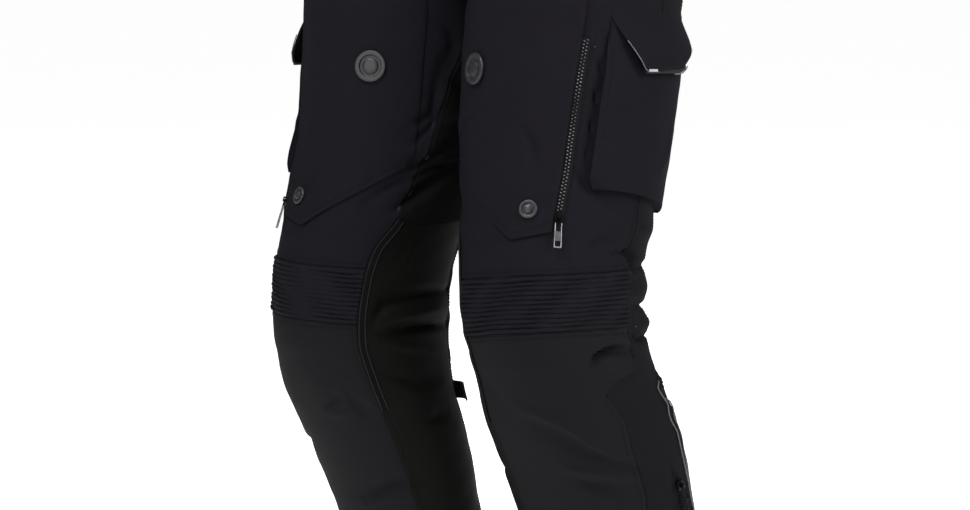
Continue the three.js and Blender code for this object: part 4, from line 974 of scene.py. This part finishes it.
# the two reflective cords beside the hem zip, bending with the cloth's folds: angle, height
sidePiping = (
    ((109, -655), (102, -660), (102.5, -667), (105.5, -678), (101.5, -688), (101.5, -696), (104.5, -705),
     (103.5, -716), (101.5, -728), (101, -738), (101.5, -752), (102.5, -765), (103, -777), (105, -790),
     (106, -810), (107.5, -870), (109.5, -960), (111.5, -1062)),
    ((106, -672), (111, -677), (110.5, -686), (108.5, -695), (111.5, -707), (112.5, -716), (107, -730),
     (105, -745), (105.5, -765), (106.5, -780), (108, -800), (111, -870), (113, -960), (115, -1062)),
)


def makePiping(leg, label):
    width = innerPiping["width"]
    inset = math.degrees((width / 2 + 0.3) / 90)
    heights = np.linspace(innerPiping["top"], innerPiping["bottom"], 30)
    route = [(seamAt("innerFront", z) - inset, z, innerPiping["lift"]) for z in heights]
    centres, normals = runAlong(route, leg)
    # the band's cloth is painted darker, as shade on the inside of the knee
    band = sweep(f"inner_piping_band_{label}", centres, normals, width - 2.6, 1.2, "shadedInnerCloth")
    declare(band, replaced=[f"inner_piping_{label}"])
    for number, off in enumerate((-1, 1)):
        line = sideways(centres, normals, off * (width / 2 - 0.9)) + normals * 0.2
        cord = sweep(f"inner_piping_cord_{label}_{number}", line, normals, 1.5, 1.4, "dullCord", 8)
        declare(cord)
    for number, places in enumerate(sidePiping):
        addTrim(f"side_piping_cord_{label}_{number}", [(angle, z, 1.0) for angle, z in places], leg, 2.0,
                (1.05, 1.4, 8), "binding", replaced=() if number else [f"side_piping_{label}"])


def flapPoint(label, u, v, over, rise=0.0):
    angle, z = flapPlace(label, u, v)
    return float(angle), float(z) + rise, float(flapLift(label, v)) + over


def makeFlapEdge(leg, label):
    # a dark grey copy of the binding along the bottom as painted shade, a bright cord down the front, a
    # painted highlight thick and shining at the corner, and a thin bright cord under the bottom
    bottom = [flapPoint(label, u, 1.0, -0.9) for u in np.linspace(0.0, 0.66, 12)]
    front = [flapPoint(label, -0.004, v, 0.1) for v in (0.46, 0.6, 0.8, 0.96)]
    front += [flapPoint(label, u, 1.0, 0.7) for u in (0.02, 0.07, 0.14)]
    corner = [flapPoint(label, u, 1.0, 0.8, 1.4) for u in (0.015, 0.06, 0.12)]
    low = [flapPoint(label, u, 1.0, 0.2, -2.6) for u in np.linspace(0.4, 0.72, 8)]
    addTrim(f"flap_binding_{label}", bottom, leg, 1.6, (3.8, 2.2, 12), "greyBinding",
            replaced=[f"flap_piping_{label}"])
    addTrim(f"flap_front_cord_{label}", front, leg, 1.2, (1.0, 1.1, 10), "binding")
    # painted highlight at the flap's front corner
    addTrim(f"flap_glint_{label}", corner, leg, 1.2, (2.6, 1.4, 10), "glint")
    addTrim(f"flap_cord_{label}", low, leg, 1.6, (1.2, 1.3, 8), "binding")


for leg, label in legs:
    makePiping(leg, label)
    makeFlapEdge(leg, label)
print("piping made")


# Repeats: one modelled piece copied along a route, as one mesh
def repeated(name, template, frames, finish):
    count = len(template.data.vertices)
    co = np.zeros(count * 3, np.float32)
    template.data.vertices.foreach_get("co", co)
    co = co.reshape(-1, 3).astype(float)
    faces = [tuple(face.vertices) for face in template.data.polygons]
    points = np.concatenate([co @ axes.T + place for place, axes in frames])
    starts = range(0, count * len(frames), count)
    allFaces = [tuple(corner + start for corner in face) for start in starts for face in faces]
    return smoothed(newPiece(name, points, allFaces, finish, points[:, [0, 2]]), 60)


def between(at, length, values):
    return np.array([np.interp(at, length, values[:, k]) for k in range(3)])


def framesAlong(centres, normals, pitch, start=0.0, shift=0.0):
    # places in metres with axes (along, across, out) every pitch millimetres
    length = runLength(centres)
    frames = []
    for at in np.arange(start, length[-1] - start, pitch):
        place, normal = between(at, length, centres), between(at, length, normals)
        ahead = between(min(at + 1, length[-1]), length, centres)
        behind = between(max(at - 1, 0), length, centres)
        along = (ahead - behind) / np.linalg.norm(ahead - behind)
        across = np.cross(normal, along)
        across /= np.linalg.norm(across)
        out = np.cross(along, across)
        frames.append(((place + across * shift) * mm, np.stack([along, across, out], 1)))
    return frames


def modelTooth():
    # one moulded tooth, its root on the tape and its head over the middle line
    tooth = box((1.1, 1.7, 1.3))
    bpy.ops.object.mode_set(mode="EDIT")
    bpy.ops.mesh.select_all(action="SELECT")
    bpy.ops.mesh.bevel(offset=0.3 * mm, segments=1)
    bpy.ops.object.mode_set(mode="OBJECT")
    return tooth


def modelStitch():
    bpy.ops.mesh.primitive_ico_sphere_add(subdivisions=1, radius=1)
    stitch = bpy.context.object
    stitch.scale = (1.25 * mm, 0.36 * mm, 0.36 * mm)
    bpy.ops.object.transform_apply(location=True, rotation=True, scale=True)
    return stitch


tooth, stitch = modelTooth(), modelStitch()
stitchPitch, toothPitch = 3.5, 3.5


def makeZip(leg, label, place, zip):
    # the tape with its two rows of teeth, one half a pitch behind the other
    route = [(zipAngle(zip, z), z, zip["lifts"][label]) for z in np.linspace(zip["topZ"], zip["lowZ"], 24)]
    centres, normals = runAlong(route, leg)
    rail = np.stack([sideways(centres, normals, off * 5.3) - normals * 0.1 * off * off
                     for off in np.linspace(-1, 1, 5)], 1)
    tape = clothSheet(f"{place}_zip_tape_cloth_{label}", rail, np.repeat(normals[:, None], 5, 1), rail, 1.0,
                      "tape" if place == "thigh" else "blackTape", "tape")
    declare(tape,
            replaced=[f"{place}_zip_tape_{label}"])
    lifted = centres + normals * zip["teeth"]
    frames = framesAlong(lifted, normals, toothPitch, 2.0, 1.55)
    frames += framesAlong(lifted, normals, toothPitch, 2.0 + toothPitch / 2, -1.55)
    look = "teeth" if place == "thigh" else "blackTape"
    declare(repeated(f"{place}_zip_teeth_{label}", tooth, frames, look))


for leg, label in legs:
    makeZip(leg, label, "thigh", thighZip)
    makeZip(leg, label, "hem", hemZip)
print("zips made")


# Hard pieces, modelled flat at the origin and stood on the cloth
def standFrame(leg, angle, z, lift, upAngle, upZ):
    place = clothPoint(angle, z, lift, leg, creased=False)
    normal = clothNormal(angle, z, leg)
    up = clothPoint(upAngle, upZ, lift, leg, creased=False) - place
    across = np.cross(up, normal)
    across /= np.linalg.norm(across)
    upright = np.cross(normal, across)
    upright /= np.linalg.norm(upright)
    matrix = Matrix.Identity(4)
    for row in range(3):
        matrix[row][0], matrix[row][1], matrix[row][2] = across[row], upright[row], normal[row]
        matrix[row][3] = place[row] * mm
    return matrix


def finishHard(piece, matrix, name, material, bevel=0.25):
    applied(piece, "BEVEL", width=bevel * mm, segments=2, limit_method="ANGLE", angle_limit=math.radians(35))
    piece.data.transform(matrix)
    piece.data.update()
    piece.name = piece.data.name = name
    if material:
        piece.data.materials.clear()
        piece.data.materials.append(finishes[material])
    return smoothed(piece, 40)


def turned(steps, segments=72):
    # a round piece: a disc drawn up and in or out through its steps of (radius, height)
    radius = steps[0][0]
    bpy.ops.mesh.primitive_circle_add(vertices=segments, radius=radius * mm, fill_type="NGON")
    piece = bpy.context.object
    bpy.ops.object.mode_set(mode="EDIT")
    bpy.ops.mesh.select_all(action="SELECT")
    height = steps[0][1]
    for nextRadius, nextHeight in steps[1:]:
        bpy.ops.mesh.extrude_region_move(TRANSFORM_OT_translate={"value": (0, 0, (nextHeight - height) * mm)})
        scale = nextRadius / radius
        bpy.ops.transform.resize(value=(scale, scale, 1))
        radius, height = nextRadius, nextHeight
    bpy.ops.mesh.select_all(action="SELECT")
    bpy.ops.mesh.normals_make_consistent(inside=False)
    bpy.ops.object.mode_set(mode="OBJECT")
    return piece


# radius and height of each step of a round piece, from the cloth up
discSteps = ((16.2, 0), (16.2, 2.2), (15.5, 3.0), (11.4, 3.0), (11.0, 0.9), (8.3, 0.9), (7.9, 2.9), (5.0,
             3.25),
             (1.2, 3.3))
buttonSteps = ((9.3, 0), (9.3, 1.8), (8.7, 2.6), (6.6, 2.6), (6.3, 0.7), (4.7, 0.7), (4.4, 2.9), (3.4, 3.4),
               (0.8, 3.45))
snapSteps = ((9.0, 0), (9.0, 2.0), (8.2, 2.9), (6.8, 3.5), (5.0, 3.9), (4.4, 3.5), (1.0, 3.4))


def addRound(leg, name, steps, angle, z, lift, look, node):
    matrix = standFrame(leg, angle, z, lift, angle, z + 5)
    raised = creaseLift(np.array(angle), np.array(z), leg) + slackLift(np.array(angle), np.array(z), leg)
    matrix.translation += Vector(clothNormal(angle, z, leg)) * float(raised) * mm
    declare(finishHard(turned(steps), matrix, name, look), replaced=[node])


def modelSlider():
    # the slider's body narrows to its foot, with a bridge over it for the pull's bar
    body = box((8, 11, 2.4), (0, 0, 1.2))
    bpy.ops.object.mode_set(mode="EDIT")
    bpy.ops.mesh.select_all(action="SELECT")
    bpy.ops.mesh.subdivide(number_cuts=3)
    bpy.ops.object.mode_set(mode="OBJECT")
    for vertex in body.data.vertices:
        along = vertex.co.y / (5.5 * mm)
        vertex.co.x *= 1 - 0.28 * max(-along, 0) ** 2 - 0.10 * max(along, 0) ** 3
        vertex.co.z -= 0.5 * mm * abs(along) ** 3 * (vertex.co.z > 1.2 * mm)
    bridge = box((2.4, 5.2, 4.6), (0, 0, 3.9))
    bpy.ops.mesh.primitive_cylinder_add(
        vertices=24, radius=1.35 * mm, depth=6 * mm, location=(0, 0, 3.9 * mm), rotation=(0, math.pi / 2, 0))
    hole = bpy.context.object
    applied(bridge, "BOOLEAN", operation="DIFFERENCE", object=hole, solver="EXACT")
    bpy.data.objects.remove(hole)
    return joined(body, bridge)


# half widths outside and inside the frame at each height from the hinge, and its open windows
pullTab = {
    "rows": ((0.7, 2.2, 1.4), (-0.7, 2.4, 1.7), (-7.0, 3.4, 2.7), (-15.5, 3.5, 2.75), (-24.6, 3.7, 2.85),
             (-30.4, 3.8, 2.9), (-31.6, 3.6, 2.7)),
    "windows": ((-0.7, -15.5), (-24.6, -30.4)), "wall": 1.2, "axis": 3.9, "blackAbove": -6.9,
    "slant": {"thigh": 0.10, "hem": 0.0},
    "grip": {"top": -15.3, "bottom": -24.8, "halfWidth": 3.0, "wall": 1.5, "rim": 0.5, "hollow": 0.1},
}


def chooseFaces(piece, wanted):
    onlySelect(piece)
    bpy.ops.object.mode_set(mode="EDIT")
    bpy.ops.mesh.select_mode(type="FACE")
    bpy.ops.mesh.select_all(action="DESELECT")
    bpy.ops.object.mode_set(mode="OBJECT")
    for polygon in piece.data.polygons:
        polygon.select = wanted(polygon)
    bpy.ops.object.mode_set(mode="EDIT")


def modelPull(frameFinish, padFinish):
    # a flat frame with two windows; the upper one goes over the slider's bridge
    rows = pullTab["rows"]
    bpy.ops.mesh.primitive_grid_add(x_subdivisions=3, y_subdivisions=len(rows) - 1, size=1)
    plate = bpy.context.object
    for number, vertex in enumerate(plate.data.vertices):
        row, column = divmod(number, 4)
        y, outer, inner = rows[len(rows) - 1 - row]
        vertex.co = ((-outer, -inner, inner, outer)[column] * mm, y * mm, pullTab["axis"] * mm)
    chooseFaces(plate, lambda face: abs(face.center.x) < 1 * mm and any(
        low * mm < face.center.y < high * mm for high, low in pullTab["windows"]))
    bpy.ops.mesh.delete(type="FACE")
    bpy.ops.object.mode_set(mode="OBJECT")
    applied(plate, "SOLIDIFY", thickness=pullTab["wall"] * mm, offset=0)
    grip = pullTab["grip"]
    middle = (grip["top"] + grip["bottom"]) / 2
    size = (2 * grip["halfWidth"], grip["top"] - grip["bottom"], grip["wall"])
    pad = box(size, (0, middle, pullTab["axis"]))
    chooseFaces(pad, lambda face: abs(face.normal.z) > 0.9)
    bpy.ops.mesh.inset(thickness=grip["rim"] * mm, depth=-grip["hollow"] * mm, use_individual=True)
    bpy.ops.object.mode_set(mode="OBJECT")
    for look in (frameFinish, "blackMetal"):
        plate.data.materials.append(finishes[look])
    for polygon in plate.data.polygons:
        polygon.material_index = int(polygon.center.y > pullTab["blackAbove"] * mm)
    pad.data.materials.append(finishes[padFinish])
    return joined(plate, pad)


def addSlider(leg, label, place, zip, z):
    slope = (zip["topAngle"] - zip["lowAngle"]) / (zip["topZ"] - zip["lowZ"])
    angle = zipAngle(zip, z)
    matrix = standFrame(leg, angle, z, 0.9 + 1.0 + 0.3, angle + slope * 5, z + 5)
    slider = finishHard(modelSlider(), matrix, f"{place}_slider_body_{label}", "blackMetal", 0.35)
    declare(slider, replaced=[f"{place}_slider_{label}"])
    hang = max(math.atan2(-matrix[2][2], matrix[2][1]), 0)
    axis = Matrix.Translation((0, 0, pullTab["axis"] * mm))
    slant = Matrix.Rotation(leg * pullTab["slant"][place], 4, "Z")
    tilt = axis @ Matrix.Rotation(-hang, 4, "X") @ slant @ axis.inverted()
    looks = ("metal", "pad") if place == "thigh" else ("blackMetal", "blackMetal")
    pull = finishHard(modelPull(*looks), matrix @ tilt, f"{place}_pull_plate_{label}", None, 0.25)
    declare(pull, body=f"{place}_pull_{label}", replaced=[f"{place}_pull_{label}"])


for leg, label in legs:
    addRound(leg, f"vent_disc_{label}", discSteps, -21, -343, 3.1, "badge", f"disc_{label}")
    addRound(leg, f"vent_button_{label}", buttonSteps, 20, -478, 3.1, "badge", f"button_{label}")
    addSlider(leg, label, "thigh", thighZip, thighZip["lowZ"] + 4)
    addSlider(leg, label, "hem", hemZip, hemZip["topZ"] - 7)
addRound(1, "waist_snap_cap", snapSteps, 0, -20, 4.7, "metal", "waist_snap")
print("sliders, pulls, discs and buttons made")

# Strap on the calf, waistband and fly
strap = {"height": -696.0, "wide": 20, "wall": 1.8,
         "route": ((-152, 1.2), (-146, 1.4), (-140, 3), (-134, 7), (-128, 9), (-122, 8.5))}  # angle, lift


def makeStrap(leg, label):
    places = np.array(strap["route"], float)
    along = np.linspace(0, len(places) - 1, 31)
    angle, lift = (np.interp(along, range(len(places)), places[:, k]) for k in range(2))
    eased(lift, 4)
    z = np.full(31, strap["height"])
    normals = clothNormal(angle, z, leg)[:, None]
    points = np.stack([clothPoint(angle, z + off, lift + 1.9, leg, creased=False)
                       for off in np.linspace(-strap["wide"] / 2, strap["wide"] / 2, 9)], 1)
    points += normals * creaseLift(angle, z, leg)[:, None, None]
    piece = clothSheet(f"calf_tab_webbing_{label}", points, np.repeat(normals, 9, 1), points, strap["wall"],
                       "webbing", "webbing")
    declare(piece,
            replaced=[f"calf_tab_{label}"])


def makeWaistband():
    lap = 9
    turns = lap - (360 + 2 * lap) * np.linspace(0, 1, 360)
    over = np.clip((-turns - (360 - 4 * lap)) / (2.4 * lap), 0, 1)
    over = over * over * (3 - 2 * over)
    heights = -np.concatenate([[0, 0.8, 2.0, 4, 6, 7.5], np.linspace(9, 31, 9), [32.5, 34, 36, 37.9,
                              39.0, 39.7]])
    angle, z = np.meshgrid(turns, heights)
    edge = np.minimum(-z, 39.7 + z)
    lift = 1 + 3.3 * over[None] - 0.9 * bell(edge, 1.2) - 0.45 * bell(edge - 6, 1.2)
    bare = clothPoint(angle, z, 0.5, 1, creased=False)
    side = np.sin(np.radians(angle)) * 0.35 * np.sin(np.radians(angle * 9)) * bell(z + 20, 14)
    points = clothPoint(angle, z, lift + side, 1, creased=False)
    piece = clothSheet("waistband_cloth", points, clothNormal(angle, z, 1), bare, 2.6, "cloth")
    declare(piece, replaced=["waistband"])


def makeFly():
    start, width, low, bend = 6, 32, -192, -150
    u, v = np.meshgrid(np.linspace(0, 1, 18), np.linspace(0, 1, 60))
    z = -42 + (low + 42) * v
    f = np.clip((bend - z) / (bend - low), 0, 1)
    reach = width * (0.12 + 0.88 * np.sqrt(1 - f * f))
    side, _, half, _, _ = oval(z)
    angle = np.degrees(np.arcsin(np.clip((start + reach * u - side) / half, -1, 1)))
    bare = clothPoint(angle, z, 2.0, 1, creased=False)
    edge = np.minimum(u, 1 - u) * reach
    lift = 2.8 - 0.7 * bell(edge, 1.4) - 0.4 * bell(edge - 5, 1.3)
    piece = clothSheet("fly_cloth", clothPoint(angle, z, lift, 1), clothNormal(angle, z, 1), bare, 1.4,
                       "cloth", "cloth")
    declare(piece, replaced=["fly"])


def makeMiddleSeams():
    # the felled allowance behind the middle seams of the front and the back
    for place, edge, inward in (("front", frontEdge, 1), ("back", backEdge, -1)):
        z = np.linspace(-38, -276, 60)
        middle = barePoint(edge(np.maximum(z, crotch + 0.5)), z)
        middle[:, 0] = 0
        middle[:, 1] += inward * 2.9
        toward = np.tile([0.0, -1.0 * inward, 0.0], (len(z), 1))
        declare(sweep(f"middle_seam_{place}", middle, toward, 11, 1.8, "cloth", 12))


seamTape = {"size": (7, 1.0, 6), "depth": -3.2, "step": 5.0, "runs": {
    "innerFront": (-284, -1066), "innerBack": (-284, -1066), "side": (-42, -624), "shin": (-629, -1066),
    "backSide": (-42, -1066)}}


def makeSeamTapes(leg, label):
    # the allowance pressed flat behind each long seam of a leg
    for name, (top, bottom) in seamTape["runs"].items():
        route = [(float(seamAt(name, z)), z, seamTape["depth"]) for z in np.linspace(top, bottom, 120)]
        addTrim(f"seam_tape_{name}_{label}", route, leg, seamTape["step"], seamTape["size"], "lining")


for leg, label in legs:
    makeStrap(leg, label)
    makeSeamTapes(leg, label)
makeWaistband()
makeFly()
makeMiddleSeams()
print("strap, waistband and fly made")


# Stitching: rows of (angle, height, lift) beside the seams and edges
def seamStitches(name, side, top, bottom, lift=0.35):
    off = math.degrees(5.4 / 95) * side
    return [(float(seamAt(name, z)) + off, z, lift) for z in np.linspace(top, bottom, 60)]


def stitchRows(label):
    knee = ribs[label]
    rows = [seamStitches(*row) for row in (
        ("innerFront", 1, -300, -540), ("innerFront", 1, -612, -1064), ("side", -1, -46, -540),
        ("side", -1, -46, -288), ("shin", -1, -664, -1064), ("backSide", 1, -46, -636),
        ("innerBack", -1, -300, -1064))]
    for (inner, outer, arch), drop in ((knee["top"], 5.6), (knee["bottom"], -5.6)):
        row = []
        for u in np.linspace(0.03, 0.97, 40):
            z = inner + (outer - inner) * u + arch * math.sin(math.pi * u) + drop
            start, end = float(seamAt("innerFront", z)), float(seamAt("side", z))
            row.append((start + (end - start) * u, z, 0.3))
        rows.append(row)
    rows.append([(angle, -1044.0, 0.5) for angle in np.linspace(-116, 238, 120)])
    overFlap, overPocket = ventFlap["lift"] + 0.1, pocket["height"][label] + 0.2
    rows.append([(angle, float(ventLow(angle)) + 7, overFlap) for angle in np.linspace(-47, 31, 40)])
    for zip, off, lift, top, low, count in (
            (thighZip, -6.6, overFlap + 0.1, -306, -490, 30), (thighZip, 4.6, 0.4, -306, -492, 30),
            (hemZip, -4.4, 0.4, -784, -1062, 40), (hemZip, 4.4, 0.4, -784, -1062, 40)):
        rows.append([(zipAngle(zip, z) + off, z, lift) for z in np.linspace(top, low, count)])
    rows.append([(*map(float, pocketPlace(0.055, v)), overPocket) for v in np.linspace(0.12, 0.95, 30)])
    rows.append([(*map(float, pocketPlace(u, 0.948)), overPocket) for u in np.linspace(0.06, 0.94, 30)])
    rows.append([flapPoint(label, u, 0.86, 0.15) for u in np.linspace(0.08, 0.92, 30)])
    return rows


def sew(name, rows, leg):
    frames = []
    for row in rows:
        frames += framesAlong(*runAlong(row, leg), stitchPitch, 1.0)
    declare(repeated(name, stitch, frames, "thread"))


for leg, label in legs:
    sew(f"stitching_{label}", stitchRows(label), leg)
tackPlaces = ((49.5, -320), (37.5, -367), (33.5, -437), (97, -596), (-30, -330))
for leg, label in legs:
    frames = []
    for angle, z in tackPlaces:
        centres, normals = runAlong([(angle - 0.5, z, 0.6), (angle + 0.5, z, 0.6)], leg)
        frames.append(framesAlong(centres, normals, stitchPitch)[0])
    declare(repeated(f"bar_tacks_{label}", stitch, frames, "binding"))
sew("stitching_waist", [[(angle, z, 1.3) for angle in np.linspace(-170, 190, 160)] for z in (-6.2, -34.0)], 1)
for template in (tooth, stitch):
    bpy.data.objects.remove(template)
print("stitching made")
